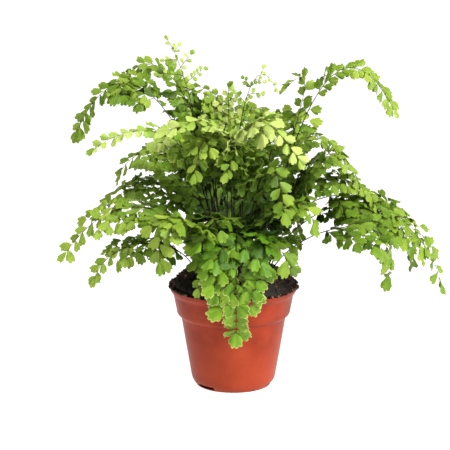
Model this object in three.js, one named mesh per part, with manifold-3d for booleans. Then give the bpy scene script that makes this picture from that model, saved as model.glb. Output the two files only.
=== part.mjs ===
// A potted maidenhair fern: a moulded pot, the potting soil that fills it and is heaped above
// its lip, and the fronds. Each frond is one piece: a wiry stalk that stands in its own hole in
// the soil, the midrib that it becomes, the side ribs, and lobed fan-shaped leaflets.
// Millimetres, +Z up, origin at the middle of the pot's base, front towards -Y.
import * as THREE from 'three';
import { mergeVertices } from 'three/addons/utils/BufferGeometryUtils.js';
import Module from 'manifold-3d';

const wasm = await Module();
wasm.setup();

// ---- Driving dimensions -------------------------------------------------------------------

// Pot: outside radius and height of each corner, from the base up to the lip
const WALL = 1.2;
const BASE_THICKNESS = 1.8;
const FLAT_RADIUS = 34;
const FOOT_RADIUS = 38.8;
const FOOT_HEIGHT = 6;
const BODY_RADIUS = 49.2;
const BODY_HEIGHT = 66;
const COLLAR_RADIUS = 53.2;
const COLLAR_FOOT = 69.5;
const NECK_RADIUS = 56.6;
const NECK_HEIGHT = 88;
const LIP_RADIUS = 60;
const LIP_FOOT = 92.5;
const LIP_TOP = 94.5;
const LIP_WIDTH = 1.8;
const POT_SIDES = 32;

// Drain slots cut through the rounded foot
const DRAIN_SLOTS = 3;
const DRAIN_WIDTH = 20;
const DRAIN_DEPTH = 11;
const DRAIN_HEIGHT = 4.5;
const DRAIN_TURN = 224;

// Soil: clear of the pot all round, heaped in the middle, and lumpy on top, with two sets of
// crossing waves whose lengths are given across and along
const GAP = 0.3;
const SOIL_EDGE_HEIGHT = 92;
const HEAP_FOOT_HEIGHT = 96;
const HEAP_HEIGHT = 107;
const HEAP_RADIUS = 50;
const SOIL_RINGS = 3;
const SOIL_SIDES = 16;
const LUMP = 0.9;
const SHORT_WAVES = [20, 23];
const LONG_WAVES = [48, 33];
const HOLE_SIDES = 4;
const HOLE_RADIUS = 2.15;
const HOLE_SPARE = 0.8;

// Fronds: stalk and rib sections as half widths and half thicknesses
const ROOT_HEIGHT = 93;
const STALK_HALF_WIDTH = 1.0;
const STALK_HALF_THICK = 0.7;
const MIDRIB_END_HALF_WIDTH = 0.6;
const MIDRIB_END_HALF_THICK = 0.45;
const RIB_HALF_WIDTH = 0.5;
const RIB_HALF_THICK = 0.4;
const BLADE_HALF_THICK = 0.32;
const SIDE_RIB_EDGE = 1.2;
const LEAFLET_EDGE = 1.0;
const STRAIGHT_IN_SOIL = 17;
const BARE_BENDS = [0.22, 0.35];

// Fronds: where the ribs stand and how far they reach
const LEAFY_TO = 0.95;
const RIB_SPACING = 22.5;
const RIB_LEAN = 58;
const RIB_LENGTH = 27;
const RIB_SHRINK = 0.62;
const RIB_DROOP = 0.16;
const SHORTEST_RIB = 12;
const LEAFLET_SPACING = 8;
const LEAFLET_LEAN = 70;
const LEAFLET_SIZE = 11;
const LEAFLET_ARCH = 0.12;

// How far apart separate blades, ribs and stalks stay, how finely that is looked at, and how
// much of a blade or rib is left out of it where it grows from its own rib
const CLEAR_DISTANCE = 2.4;
const SAMPLE_SPACING = 1.2;
const OWN_BASE = 3.6;

// What gives way until a rib or a leaflet is clear: the whole spread of its turns in degrees,
// at the first try and at the last, and its share of its usual length at the last
const RIB_TRIES = 12;
const RIB_SWING = [10, 50];
const RIB_SHORTENED = 0.6;
const LEAFLET_TRIES = 16;
const LEAFLET_SWING = [12, 36];
const LEAFLET_TILT = [30, 110];
const LEAFLET_PITCH = [20, 80];
const LEAFLET_SHORTENED = 0.72;

// Leaflet outlines on a unit leaflet, from its right corner round to its left one: each
// entry is how far forward and how far to the left. The inner points are the cuts.
const SIDE_LEAFLET = [[0.34, -0.44], [0.96, -0.34], [0.8, 0.06], [0.84, 0.5]];
const END_LEAFLET = [[0.42, -0.5], [0.9, -0.44], [0.8, -0.16], [1, 0.06], [0.8, 0.24], [0.76, 0.54]];

const FRESH_GREEN = '#8fbb3a';
const DEEP_GREEN = '#5d8f27';
const PALE_GREEN = '#c3d873';
const POT_COLOUR = '#ad5a40';
const SOIL_COLOUR = '#2b1d14';

// Fronds seen from the front. Each stalk leaves the soil at root, and passes through knee and
// crest on its way to tip. The last four numbers are how far the upper face of the blade is
// rolled to the front, in degrees, the size of its leaflets as a share of the usual size, the
// share of the stalk below its leafy part, and the length of its ribs as a share of the usual.
const SEEN_FRONDS = [
  ['left_arch_high', [-12, 6], [-39, 10, 214], [-90, 18, 281], [-145, 20, 239], 50, 1, 0.6, 0.5],
  ['left_arch_top', [-6, 14], [-27, 24, 219], [-64, 38, 292], [-111, 45, 272], 45, 1, 0.52, 0.5],
  ['left_arch_back', [-14, 22], [-27, 34, 217], [-41, 52, 267], [-58, 60, 290], 30, 1, 0.45, 0.8],
  ['left_inner', [-2, 24], [-18, 26, 217], [-15, 36, 263], [-38, 42, 278], 20, 1, 0.5, 0.9],
  ['left_pale', [-16, -6], [-16, -15, 168], [-53, -28, 237], [-126, -35, 233], 45, 0.95, 0.45, 0.6],
  ['left_mid', [-22, 10], [-26, 22, 158], [-63, 34, 210], [-108, 38, 193], 25, 1, 0.42, 0.9],
  ['left_low_upper', [-31, 12], [-30, 30, 146], [-72, 44, 182], [-128, 50, 159], 25, 1, 0.42, 1],
  ['left_long_low', [-28, -8], [-34, -25, 144], [-85, -40, 179], [-152, -48, 139], 35, 1.1, 0.4, 0.9],
  ['left_lowest', [-32, -18], [-52, -42, 139], [-94, -58, 147], [-126, -66, 119], 30, 1, 0.36, 0.8],
  ['front_left', [-20, -28], [-26, -58, 152], [-53, -86, 179], [-66, -98, 144], 15, 1.15, 0.4, 1],
  ['front_drape', [2, -36], [2, -68, 162], [2, -98, 142], [2, -84, 74], 0, 1.45, 0.34, 1.05],
  ['front_low_left', [-10, -32], [-8, -58, 148], [-16, -84, 154], [-32, -96, 118], 5, 1.15, 0.38, 1],
  ['front_upright', [-8, -24], [-4, -46, 156], [-14, -74, 176], [-30, -90, 150], 0, 1.05, 0.4, 0.9],
  ['front_right', [22, -30], [24, -60, 152], [38, -84, 154], [51, -90, 136], 10, 1.2, 0.38, 1],
  ['front_middle', [4, -18], [8, -40, 184], [7, -58, 236], [-6, -74, 219], 0, 1, 0.58, 0.8],
  ['front_hanging', [-12, -18], [-18, -38, 188], [-23, -58, 245], [-35, -78, 219], 0, 1, 0.58, 0.8],
  ['bright_right', [10, -10], [6, -30, 194], [16, -60, 260], [57, -92, 234], 25, 1.15, 0.5, 0.9],
  ['bright_left', [-4, -12], [-6, -34, 196], [-14, -60, 256], [-58, -80, 257], 20, 1.1, 0.5, 0.8],
  ['right_arch_high', [20, 8], [58, 14, 231], [100, 20, 296], [148, 16, 260], 45, 1, 0.5, 0.6],
  ['right_arch_back', [12, 16], [38, 24, 178], [65, 50, 262], [52, 60, 274], 20, 1, 0.5, 0.65],
  ['right_mid_high', [26, 2], [40, 4, 176], [64, 6, 231], [101, 4, 217], 25, 1, 0.42, 1],
  ['right_mid', [28, -6], [44, -10, 164], [80, -14, 220], [116, -16, 193], 25, 1, 0.42, 1],
  ['right_mid_low', [36, -1], [48, -2, 172], [93, -4, 200], [130, -8, 176], 25, 1, 0.42, 0.9],
  ['right_long', [32, 6], [82, 2, 178], [152, -6, 161], [192, -14, 102], 25, 1.2, 0.44, 1],
  ['right_low', [30, -16], [64, -34, 146], [122, -52, 162], [141, -60, 121], 30, 1.2, 0.5, 1],
  ['right_low_back', [30, 16], [62, 24, 146], [125, 26, 168], [168, 16, 115], 20, 1.1, 0.4, 1],
  ['right_fore', [20, -22], [30, -48, 164], [54, -76, 190], [70, -92, 178], 10, 1.05, 0.42, 0.9],
  ['fore_hanging', [12, -26], [16, -54, 174], [30, -80, 224], [44, -104, 190], 10, 1.15, 0.52, 0.55],
  ['young_left', [-6, 4], [-22, 8, 184], [-40, 10, 269], [-60, 10, 324], 0, 0.45, 0.82, 0.8],
  ['young_right', [4, 8], [2, 14, 207], [16, 18, 281], [38, 20, 280], 0, 0.45, 0.78, 0.6],
  ['top_middle', [0, 16], [-2, 24, 172], [-4, 30, 232], [-5, 32, 276], 0, 0.5, 0.86, 0.5],
];
const COLOURS = {
  left_pale: PALE_GREEN, bright_right: PALE_GREEN, bright_left: PALE_GREEN,
  young_left: PALE_GREEN, young_right: PALE_GREEN, top_middle: PALE_GREEN,
  left_mid: DEEP_GREEN, left_low_upper: DEEP_GREEN, right_mid_high: DEEP_GREEN,
  right_mid: DEEP_GREEN, right_mid_low: DEEP_GREEN,
};

// Fronds behind, which the front view hides: spread evenly round the back by a rule, inner
// roots and low crests by turns with outer roots and high crests. The knee and the crest lie
// at shares of the way out to the tip. A pair is a least and a most.
const BACK_FRONDS = 8;
const BACK_FROM = 46;
const BACK_TO = 126;
const BACK_ROOTS = [28, 38];
const BACK_REACH = [92, 132];
const BACK_KNEE_SHARE = 0.42;
const BACK_KNEE_HEIGHT = [150, 168];
const BACK_CREST_SHARE = 0.72;
const BACK_CRESTS = [180, 238];
const BACK_CREST_VARIES = [-8, 8];
const BACK_TIP_DROP = [30, 56];
const BACK_LEAFY_FROM = 0.44;

const RANDOM_SEED = 7;

const degrees = (value) => value * Math.PI / 180;
const mix = (from, to, share) => from + (to - from) * share;
const Y = new THREE.Vector3(0, 1, 0);
const Z = new THREE.Vector3(0, 0, 1);

// A seeded draw of numbers from 0 to 1
function seededDraw(seed) {
  let state = seed;
  return () => {
    state = (state + 0x6d2b79f5) | 0;
    let bits = Math.imul(state ^ (state >>> 15), 1 | state);
    bits = (bits + Math.imul(bits ^ (bits >>> 7), 61 | bits)) ^ bits;
    return ((bits ^ (bits >>> 14)) >>> 0) / 4294967296;
  };
}

// ---- Solids: from a geometry to a manifold and back -----------------------------------------

function toManifold(geometry) {
  geometry.deleteAttribute('normal');
  geometry.deleteAttribute('uv');
  const merged = mergeVertices(geometry);
  const corners = merged.index.array;
  const triangles = [];
  for (let i = 0; i < corners.length; i += 3) {
    const [a, b, c] = corners.slice(i, i + 3);
    if (a !== b && b !== c && c !== a) triangles.push(a, b, c);
  }
  const mesh = new wasm.Mesh({
    numProp: 3,
    vertProperties: new Float32Array(merged.attributes.position.array),
    triVerts: new Uint32Array(triangles),
  });
  return new wasm.Manifold(mesh);
}

function toGeometry(manifold) {
  const mesh = manifold.getMesh();
  const geometry = new THREE.BufferGeometry();
  geometry.setAttribute('position', new THREE.BufferAttribute(mesh.vertProperties, 3));
  geometry.setIndex(new THREE.BufferAttribute(mesh.triVerts, 1));
  return geometry;
}

function material(colour, roughness) {
  return new THREE.MeshStandardMaterial({ color: colour, roughness, metalness: 0 });
}

function namedMesh(name, geometry, look) {
  geometry.computeVertexNormals();
  const mesh = new THREE.Mesh(geometry, look);
  mesh.name = name;
  return mesh;
}

// Turns an outline of [radius, height] pairs into a closed solid about the Z axis
function turned(outline, sides) {
  const points = outline.map(([radius, height]) => new THREE.Vector2(radius, height));
  return new THREE.LatheGeometry(points, sides).rotateX(Math.PI / 2);
}

// ---- Pot ------------------------------------------------------------------------------------

function makePot() {
  const outside = [
    [0, 0], [FLAT_RADIUS, 0], [FOOT_RADIUS, FOOT_HEIGHT], [BODY_RADIUS, BODY_HEIGHT],
    [COLLAR_RADIUS, COLLAR_FOOT], [NECK_RADIUS, NECK_HEIGHT], [LIP_RADIUS, LIP_FOOT],
    [LIP_RADIUS, LIP_TOP],
  ];
  const inside = [
    [LIP_RADIUS - LIP_WIDTH, LIP_TOP], [NECK_RADIUS - WALL, NECK_HEIGHT + WALL],
    [COLLAR_RADIUS - WALL, COLLAR_FOOT + WALL], [BODY_RADIUS - WALL, BODY_HEIGHT + WALL],
    [FOOT_RADIUS - WALL, FOOT_HEIGHT + WALL], [FLAT_RADIUS, BASE_THICKNESS], [0, BASE_THICKNESS],
  ];
  let pot = toManifold(turned([...outside, ...inside], POT_SIDES));
  for (let slot = 0; slot < DRAIN_SLOTS; slot += 1) {
    const cutter = new THREE.BoxGeometry(DRAIN_DEPTH, DRAIN_WIDTH, DRAIN_HEIGHT * 2);
    cutter.translate(FOOT_RADIUS, 0, 0);
    cutter.rotateZ(degrees(DRAIN_TURN + slot * 360 / DRAIN_SLOTS));
    pot = pot.subtract(toManifold(cutter));
  }
  return namedMesh('pot', toGeometry(pot), material(POT_COLOUR, 0.45));
}

// ---- Soil -----------------------------------------------------------------------------------

// Height of the heaped soil at a distance from the middle
function soilHeight(radius) {
  const share = Math.min(radius / HEAP_RADIUS, 1);
  return mix(HEAP_HEIGHT, HEAP_FOOT_HEIGHT, share * share);
}

// How far a lump stands up or lies low, from the two sets of crossing waves
function lumpHeight(x, y) {
  const short = Math.cos(2 * Math.PI * x / SHORT_WAVES[0]) * Math.cos(2 * Math.PI * y / SHORT_WAVES[1]);
  const long = Math.sin(2 * Math.PI * (x / LONG_WAVES[0] - y / LONG_WAVES[1]));
  return LUMP * (short + long);
}

// A hole in the soil round the foot of each stalk
function stalkHole(frond) {
  const from = frond.at(0).point;
  const to = frond.at(STRAIGHT_IN_SOIL / frond.length).point;
  const along = to.clone().sub(from);
  const length = along.length();
  const depth = length + 2 * HOLE_SPARE;
  const hole = new THREE.CylinderGeometry(HOLE_RADIUS, HOLE_RADIUS, depth, HOLE_SIDES);
  hole.applyQuaternion(new THREE.Quaternion().setFromUnitVectors(Y, along.normalize()));
  const middle = from.clone().addScaledVector(along, length / 2);
  return hole.translate(middle.x, middle.y, middle.z);
}

function makeSoil(fronds) {
  const inset = WALL + GAP;
  const outline = [
    [0, BASE_THICKNESS + GAP], [FLAT_RADIUS - GAP, BASE_THICKNESS + GAP],
    [FOOT_RADIUS - inset, FOOT_HEIGHT + inset], [BODY_RADIUS - inset, BODY_HEIGHT + inset],
    [COLLAR_RADIUS - inset, COLLAR_FOOT + inset], [NECK_RADIUS - inset, NECK_HEIGHT + inset],
    [NECK_RADIUS - inset, SOIL_EDGE_HEIGHT],
  ];
  const edge = NECK_RADIUS - inset;
  for (let ring = 1; ring <= SOIL_RINGS; ring += 1) {
    const radius = edge * (1 - ring / SOIL_RINGS);
    outline.push([radius, soilHeight(radius)]);
  }
  const lump = turned(outline, SOIL_SIDES);
  const place = lump.attributes.position;
  for (let i = 0; i < place.count; i += 1) {
    const [x, y, z] = [place.getX(i), place.getY(i), place.getZ(i)];
    if (z > HEAP_FOOT_HEIGHT) place.setZ(i, z + lumpHeight(x, y));
  }
  let soil = toManifold(lump);
  for (const frond of fronds) soil = soil.subtract(toManifold(stalkHole(frond)));
  return namedMesh('potting_soil', toGeometry(soil), material(SOIL_COLOUR, 1));
}

// ---- Keeping apart --------------------------------------------------------------------------

// Remembers points of the material already placed, in a grid of small boxes
class Taken {
  constructor() {
    this.boxes = new Map();
  }

  static key(i, j, k) {
    return (i + 512) * 1048576 + (j + 512) * 1024 + (k + 512);
  }

  add(points, owner) {
    for (const point of points) {
      const [i, j, k] = point.toArray().map((value) => Math.floor(value / CLEAR_DISTANCE));
      const key = Taken.key(i, j, k);
      if (!this.boxes.has(key)) this.boxes.set(key, []);
      this.boxes.get(key).push({ point, owner });
    }
  }

  // Whether points keep their distance from everything but the rib that they grow from
  isClear(points, grownFrom = null) {
    const blocks = (other, point) => other.owner !== grownFrom
      && other.point.distanceTo(point) < CLEAR_DISTANCE;
    return points.every((point) => {
      const [i, j, k] = point.toArray().map((value) => Math.floor(value / CLEAR_DISTANCE));
      for (let di = -1; di <= 1; di += 1) {
        for (let dj = -1; dj <= 1; dj += 1) {
          for (let dk = -1; dk <= 1; dk += 1) {
            const near = this.boxes.get(Taken.key(i + di, j + dj, k + dk)) ?? [];
            if (near.some((other) => blocks(other, point))) return false;
          }
        }
      }
      return true;
    });
  }
}

// Whether points stay off the pot, the soil and the surface that the pot stands on
function offPotAndSoil(points) {
  return points.every((point) => {
    const radius = Math.hypot(point.x, point.y);
    const overSoil = radius > NECK_RADIUS || point.z > soilHeight(radius) + CLEAR_DISTANCE + LUMP;
    const offPot = radius > LIP_RADIUS + CLEAR_DISTANCE || point.z > LIP_TOP + CLEAR_DISTANCE;
    return overSoil && offPot;
  });
}

function sampleTriangle(a, b, c) {
  const longest = Math.max(a.distanceTo(b), b.distanceTo(c), c.distanceTo(a));
  const steps = Math.ceil(longest / SAMPLE_SPACING);
  const points = [];
  for (let i = 0; i <= steps; i += 1) {
    for (let j = 0; j <= steps - i; j += 1) {
      const point = a.clone().multiplyScalar((steps - i - j) / steps);
      points.push(point.addScaledVector(b, i / steps).addScaledVector(c, j / steps));
    }
  }
  return points;
}

// ---- Ribs and leaflets: where they lie --------------------------------------------------------

// A curve through four points, at a third of the way apart in its parameter
class StalkCurve extends THREE.Curve {
  constructor(points) {
    super();
    this.points = points;
  }

  getPoint(t, target = new THREE.Vector3()) {
    const [a, b, c] = [t - 1 / 3, t - 2 / 3, t - 1];
    const weights = [-4.5 * a * b * c, 13.5 * t * b * c, -13.5 * t * a * c, 4.5 * t * a * b];
    target.set(0, 0, 0);
    this.points.forEach((point, index) => target.addScaledVector(point, weights[index]));
    return target;
  }
}

// A rib knows its frame at each place s from 0 to 1: the point, the direction along it, the
// direction that its upper face looks to, and its left.
function ribFrame(point, along, leftward, roll = 0) {
  const up = new THREE.Vector3().crossVectors(along, leftward).normalize();
  up.applyAxisAngle(along, roll);
  return { point, along, up, left: new THREE.Vector3().crossVectors(up, along) };
}

class Rib {
  constructor(at, length, halfWidth, halfThick) {
    this.at = at;
    this.length = length;
    this.halfWidth = halfWidth;
    this.halfThick = halfThick;
    this.stations = [];
    this.children = [];
    this.end = null;
  }

  samples(from = 0) {
    const steps = Math.ceil(this.length / SAMPLE_SPACING);
    const points = [];
    for (let i = 0; i <= steps; i += 1) {
      if (i / steps * this.length >= from) points.push(this.at(i / steps).point);
    }
    return points;
  }

  // The middle of the edge that a side rib or a leaflet grows from, and its outward frame
  seat(s, side, lean) {
    const frame = this.at(s);
    const base = frame.point.clone().addScaledVector(frame.left, side * this.halfWidth(s));
    const along = frame.along.clone().multiplyScalar(Math.cos(lean));
    along.addScaledVector(frame.left, side * Math.sin(lean));
    return { base, along, up: frame.up };
  }
}

function sideRib(parent, s, side, length, swing) {
  const { base, along, up } = parent.seat(s, side, degrees(RIB_LEAN + swing));
  const leftward = new THREE.Vector3().crossVectors(up, along);
  const at = (share) => {
    const point = base.clone().addScaledVector(along, length * share);
    point.z -= RIB_DROOP * length * share * share;
    const heading = along.clone().multiplyScalar(length);
    heading.z -= 2 * RIB_DROOP * length * share;
    return ribFrame(point, heading.normalize(), leftward);
  };
  return new Rib(at, length, () => RIB_HALF_WIDTH, () => RIB_HALF_THICK);
}

// A leaflet spreads forward from its base, is turned about its own midline by tilt and bent
// up or down by pitch, and arches over
function leafletAt(seat, outline, size, tilt, pitch) {
  const along = seat.along.clone();
  const up = seat.up.clone().addScaledVector(along, -seat.up.dot(along)).normalize();
  up.applyAxisAngle(along, tilt);
  const left = new THREE.Vector3().crossVectors(up, along);
  along.applyAxisAngle(left, pitch);
  up.applyAxisAngle(left, pitch);
  const outer = outline.map(([forward, leftward]) => {
    const point = seat.base.clone().addScaledVector(along, forward * size);
    point.addScaledVector(left, leftward * size);
    return point.addScaledVector(up, -LEAFLET_ARCH * size * (forward ** 2 + leftward ** 2));
  });
  return { outer, up, base: seat.base };
}

function leafletSamples(leaflet) {
  const { outer, base } = leaflet;
  const points = [];
  for (let i = 1; i < outer.length; i += 1) {
    points.push(...sampleTriangle(base, outer[i - 1], outer[i]));
  }
  return points.filter((point) => point.distanceTo(base) > OWN_BASE);
}

// Tries a leaflet or rib in several positions, from its natural one to ones further off, and
// keeps the first that is clear of everything placed before it
function placeClear(taken, tries, make, samplesOf, grownFrom) {
  for (let attempt = 0; attempt < tries; attempt += 1) {
    const made = make(attempt / tries);
    const points = samplesOf(made);
    if (offPotAndSoil(points) && taken.isClear(points, grownFrom)) {
      taken.add(points, made);
      return made;
    }
  }
  return null;
}

// ---- Ribs and leaflets: one closed body -------------------------------------------------------

// A sheet of triangles with an upward direction and half a thickness at each corner. Both
// faces of the body are split into the same triangles, with a wall along every free edge.
class Sheet {
  constructor() {
    this.top = [];
    this.bottom = [];
    this.faces = [];
  }

  corner(point, up, halfThick) {
    this.top.push(...point.clone().addScaledVector(up, halfThick).toArray());
    this.bottom.push(...point.clone().addScaledVector(up, -halfThick).toArray());
    return this.top.length / 3 - 1;
  }

  geometry() {
    const below = this.top.length / 3;
    const edges = new Set();
    for (const [a, b, c] of this.faces) {
      edges.add(`${a} ${b}`).add(`${b} ${c}`).add(`${c} ${a}`);
    }
    const corners = [];
    for (const [a, b, c] of this.faces) {
      corners.push(a, b, c, c + below, b + below, a + below);
      for (const [from, to] of [[a, b], [b, c], [c, a]]) {
        if (edges.has(`${to} ${from}`)) continue;
        corners.push(from, from + below, to + below, from, to + below, to);
      }
    }
    const geometry = new THREE.BufferGeometry();
    const places = new Float32Array([...this.top, ...this.bottom]);
    geometry.setAttribute('position', new THREE.BufferAttribute(places, 3));
    geometry.setIndex(corners);
    return geometry;
  }
}

function addLeaflet(sheet, leaflet, base) {
  const outer = leaflet.outer.map((point) => sheet.corner(point, leaflet.up, BLADE_HALF_THICK));
  const middle = Math.floor((outer.length - 1) / 2);
  for (let i = 0; i < outer.length - 1; i += 1) {
    const hub = i < middle ? base.right : base.left;
    sheet.faces.push([hub, outer[i], outer[i + 1]]);
  }
  sheet.faces.push([base.right, outer[middle], base.left]);
}

// Lays a rib as a strip between its left and right edges, and grows what it carries out of
// short stretches of those edges
function addRib(sheet, rib, base = null) {
  const corner = (s, side) => {
    const frame = rib.at(s);
    const point = frame.point.clone().addScaledVector(frame.left, side * rib.halfWidth(s));
    return { s, index: sheet.corner(point, frame.up, rib.halfThick(s)) };
  };
  const left = [base ? { s: 0, index: base.left } : corner(0, 1)];
  const right = [base ? { s: 0, index: base.right } : corner(0, -1)];
  const marks = [...rib.children, ...rib.stations.map((s) => ({ s })), { s: 1 }];
  marks.sort((one, other) => one.s - other.s);
  const grown = [];
  for (const mark of marks) {
    if (mark.side && !mark.carried) {
      (mark.side > 0 ? left : right).push(corner(mark.s, mark.side));
    } else if (mark.side) {
      const half = mark.edge / 2 / rib.length;
      const row = mark.side > 0 ? left : right;
      const [near, far] = [corner(mark.s - half, mark.side), corner(mark.s + half, mark.side)];
      row.push(near, far);
      const seat = mark.side > 0
        ? { right: far.index, left: near.index }
        : { right: near.index, left: far.index };
      grown.push([mark.carried, seat]);
    } else {
      left.push(corner(mark.s, 1));
      right.push(corner(mark.s, -1));
    }
  }
  let [i, j] = [0, 0];
  while (i < left.length - 1 || j < right.length - 1) {
    const leftIsNext = j === right.length - 1
      || (i < left.length - 1 && left[i + 1].s <= right[j + 1].s);
    if (leftIsNext) {
      sheet.faces.push([right[j].index, left[i + 1].index, left[i].index]);
      i += 1;
    } else {
      sheet.faces.push([left[i].index, right[j].index, right[j + 1].index]);
      j += 1;
    }
  }
  if (rib.end) grown.push([rib.end, { right: right.at(-1).index, left: left.at(-1).index }]);
  for (const [carried, seat] of grown) {
    if (carried instanceof Rib) addRib(sheet, carried, seat);
    else addLeaflet(sheet, carried, seat);
  }
}

// ---- Fronds -----------------------------------------------------------------------------------

// The rule for the fronds behind: an even fan of headings, with a seeded reach and height
function backFronds(draw) {
  const within = ([least, most]) => mix(least, most, draw());
  const rows = [];
  for (let i = 0; i < BACK_FRONDS; i += 1) {
    const heading = degrees(mix(BACK_FROM, BACK_TO, i / (BACK_FRONDS - 1)));
    const reach = within(BACK_REACH);
    const crest = BACK_CRESTS[i % 2] + within(BACK_CREST_VARIES);
    const place = (radius) => [radius * Math.cos(heading), radius * Math.sin(heading)];
    rows.push([
      `back_${i + 1}`, place(BACK_ROOTS[i % 2]),
      [...place(reach * BACK_KNEE_SHARE), within(BACK_KNEE_HEIGHT)],
      [...place(reach * BACK_CREST_SHARE), crest],
      [...place(reach), crest - within(BACK_TIP_DROP)], 0, 1, BACK_LEAFY_FROM, 1,
    ]);
  }
  return rows;
}

function stalk(root, knee, crest, tip, roll, leafShare, leafyFrom, ribShare) {
  const points = [[...root, ROOT_HEIGHT], knee, crest, tip].map((p) => new THREE.Vector3(...p));
  const curve = new StalkCurve(points);
  const length = curve.getLength();
  const heading = points[3].clone().sub(points[0]).setZ(0).normalize();
  const leftward = new THREE.Vector3().crossVectors(Z, heading);
  const turn = degrees(roll) * (leftward.y > 0 ? 1 : -1);
  const leafy = leafyPlaces(length, leafyFrom);
  const bends = [0, STRAIGHT_IN_SOIL / length, ...BARE_BENDS, ...leafy, 1];
  const frames = bends.map((s) => (
    ribFrame(curve.getPointAt(s), curve.getTangentAt(s), leftward, turn * s)));
  const at = (s) => between(bends, frames, s);
  const halfWidth = (s) => mix(STALK_HALF_WIDTH, MIDRIB_END_HALF_WIDTH, s);
  const halfThick = (s) => mix(STALK_HALF_THICK, MIDRIB_END_HALF_THICK, s);
  const midrib = new Rib(at, length, halfWidth, halfThick);
  midrib.stations = bends.slice(1, -1 - leafy.length);
  midrib.leafy = leafy;
  midrib.leafSize = LEAFLET_SIZE * leafShare;
  midrib.ribLength = RIB_LENGTH * ribShare;
  return midrib;
}

// The places along a stalk where side ribs and leaflets grow, evenly apart
function leafyPlaces(length, leafyFrom) {
  const count = Math.max(2, Math.round(length * (LEAFY_TO - leafyFrom) / RIB_SPACING));
  return Array.from({ length: count }, (_, i) => mix(leafyFrom, LEAFY_TO, i / (count - 1)));
}

// The frame between two bends of a stalk, which runs straight from one bend to the next
function between(bends, frames, s) {
  const next = Math.max(1, bends.findIndex((bend) => bend >= Math.min(s, 1)));
  const share = (s - bends[next - 1]) / (bends[next] - bends[next - 1]);
  const [from, to] = [frames[next - 1], frames[next]];
  const point = from.point.clone().lerp(to.point, share);
  const along = from.along.clone().lerp(to.along, share).normalize();
  return ribFrame(point, along, from.left.clone().lerp(to.left, share));
}

// Side ribs stand by turns right and left, shorter towards the tip, with a leaflet opposite
function planSideRibs(midrib, taken, draw) {
  midrib.leafy.forEach((s, i) => {
    const side = i % 2 ? 1 : -1;
    const length = midrib.ribLength * (1 - RIB_SHRINK * i / (midrib.leafy.length - 1));
    midrib.children.push({ s, side: -side, edge: LEAFLET_EDGE, carried: null });
    if (length < SHORTEST_RIB) {
      midrib.children.push({ s, side, edge: LEAFLET_EDGE, carried: null });
      return;
    }
    const make = (effort) => {
      const swing = turnWithin(RIB_SWING, effort, draw);
      return sideRib(midrib, s, side, length * mix(1, RIB_SHORTENED, effort), swing);
    };
    const rib = placeClear(taken, RIB_TRIES, make, (made) => made.samples(OWN_BASE));
    midrib.children.push({ s, side, edge: SIDE_RIB_EDGE, carried: rib, isRib: true });
  });
}

// A turn to either side, within a spread that widens with the effort made
function turnWithin([first, last], effort, draw) {
  return (draw() - 0.5) * mix(first, last, effort);
}

function planLeaflet(rib, s, side, outline, taken, draw, size) {
  const make = (effort) => {
    const swing = turnWithin(LEAFLET_SWING, effort, draw);
    const tilt = degrees(turnWithin(LEAFLET_TILT, effort, draw));
    const pitch = degrees(turnWithin(LEAFLET_PITCH, effort, draw));
    const seat = side ? rib.seat(s, side, degrees(LEAFLET_LEAN + swing)) : endSeat(rib, swing);
    const shorter = size * mix(1, LEAFLET_SHORTENED, effort);
    return leafletAt(seat, mirrored(outline, side), shorter, tilt, pitch);
  };
  return placeClear(taken, LEAFLET_TRIES, make, leafletSamples, rib);
}

// A leaflet on the left is the mirror image of one on the right
function mirrored(outline, side) {
  if (side <= 0) return outline;
  return outline.map(([forward, leftward]) => [forward, -leftward]).reverse();
}

function endSeat(rib, swing) {
  const { point, along, up } = rib.at(1);
  return { base: point, along: along.clone().applyAxisAngle(up, degrees(swing / 2)), up };
}

// Leaflets along a rib, by turns on its two sides
function planLeaflets(rib, taken, draw, size) {
  for (let i = 1; (i + 0.5) * LEAFLET_SPACING < rib.length; i += 1) {
    const s = 1 - i * LEAFLET_SPACING / rib.length;
    const side = i % 2 ? -1 : 1;
    const leaflet = planLeaflet(rib, s, side, SIDE_LEAFLET, taken, draw, size);
    if (leaflet) rib.children.push({ s, side, edge: LEAFLET_EDGE, carried: leaflet });
  }
}

function planFronds() {
  const draw = seededDraw(RANDOM_SEED);
  const taken = new Taken();
  const rows = [...SEEN_FRONDS, ...backFronds(draw)];
  const fronds = rows.map(([name, ...path]) => ({ name, midrib: stalk(...path) }));
  for (const { midrib } of fronds) taken.add(midrib.samples(), midrib);
  for (const { midrib } of fronds) planSideRibs(midrib, taken, draw);
  const sideRibs = (midrib) => midrib.children.filter((mark) => mark.carried instanceof Rib);
  for (const { midrib } of fronds) {
    midrib.end = planLeaflet(midrib, 1, 0, END_LEAFLET, taken, draw, midrib.leafSize);
  }
  for (const { midrib } of fronds) {
    const size = midrib.leafSize;
    for (const { carried: rib } of sideRibs(midrib)) {
      rib.end = planLeaflet(rib, 1, 0, SIDE_LEAFLET, taken, draw, size);
    }
    for (const mark of midrib.children.filter((child) => !child.isRib)) {
      mark.carried = planLeaflet(midrib, mark.s, mark.side, SIDE_LEAFLET, taken, draw, size);
    }
  }
  for (const { midrib } of fronds) {
    for (const { carried: rib } of sideRibs(midrib)) {
      planLeaflets(rib, taken, draw, midrib.leafSize);
    }
  }
  return fronds;
}

function makeFrond({ name, midrib }) {
  const sheet = new Sheet();
  addRib(sheet, midrib);
  return namedMesh(`frond_${name}`, sheet.geometry(), material(COLOURS[name] ?? FRESH_GREEN, 0.6));
}

// ---- The whole plant --------------------------------------------------------------------------

const fronds = planFronds();
const group = new THREE.Group();
group.add(makePot(), makeSoil(fronds.map((frond) => frond.midrib)), ...fronds.map(makeFrond));

export default group;
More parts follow.
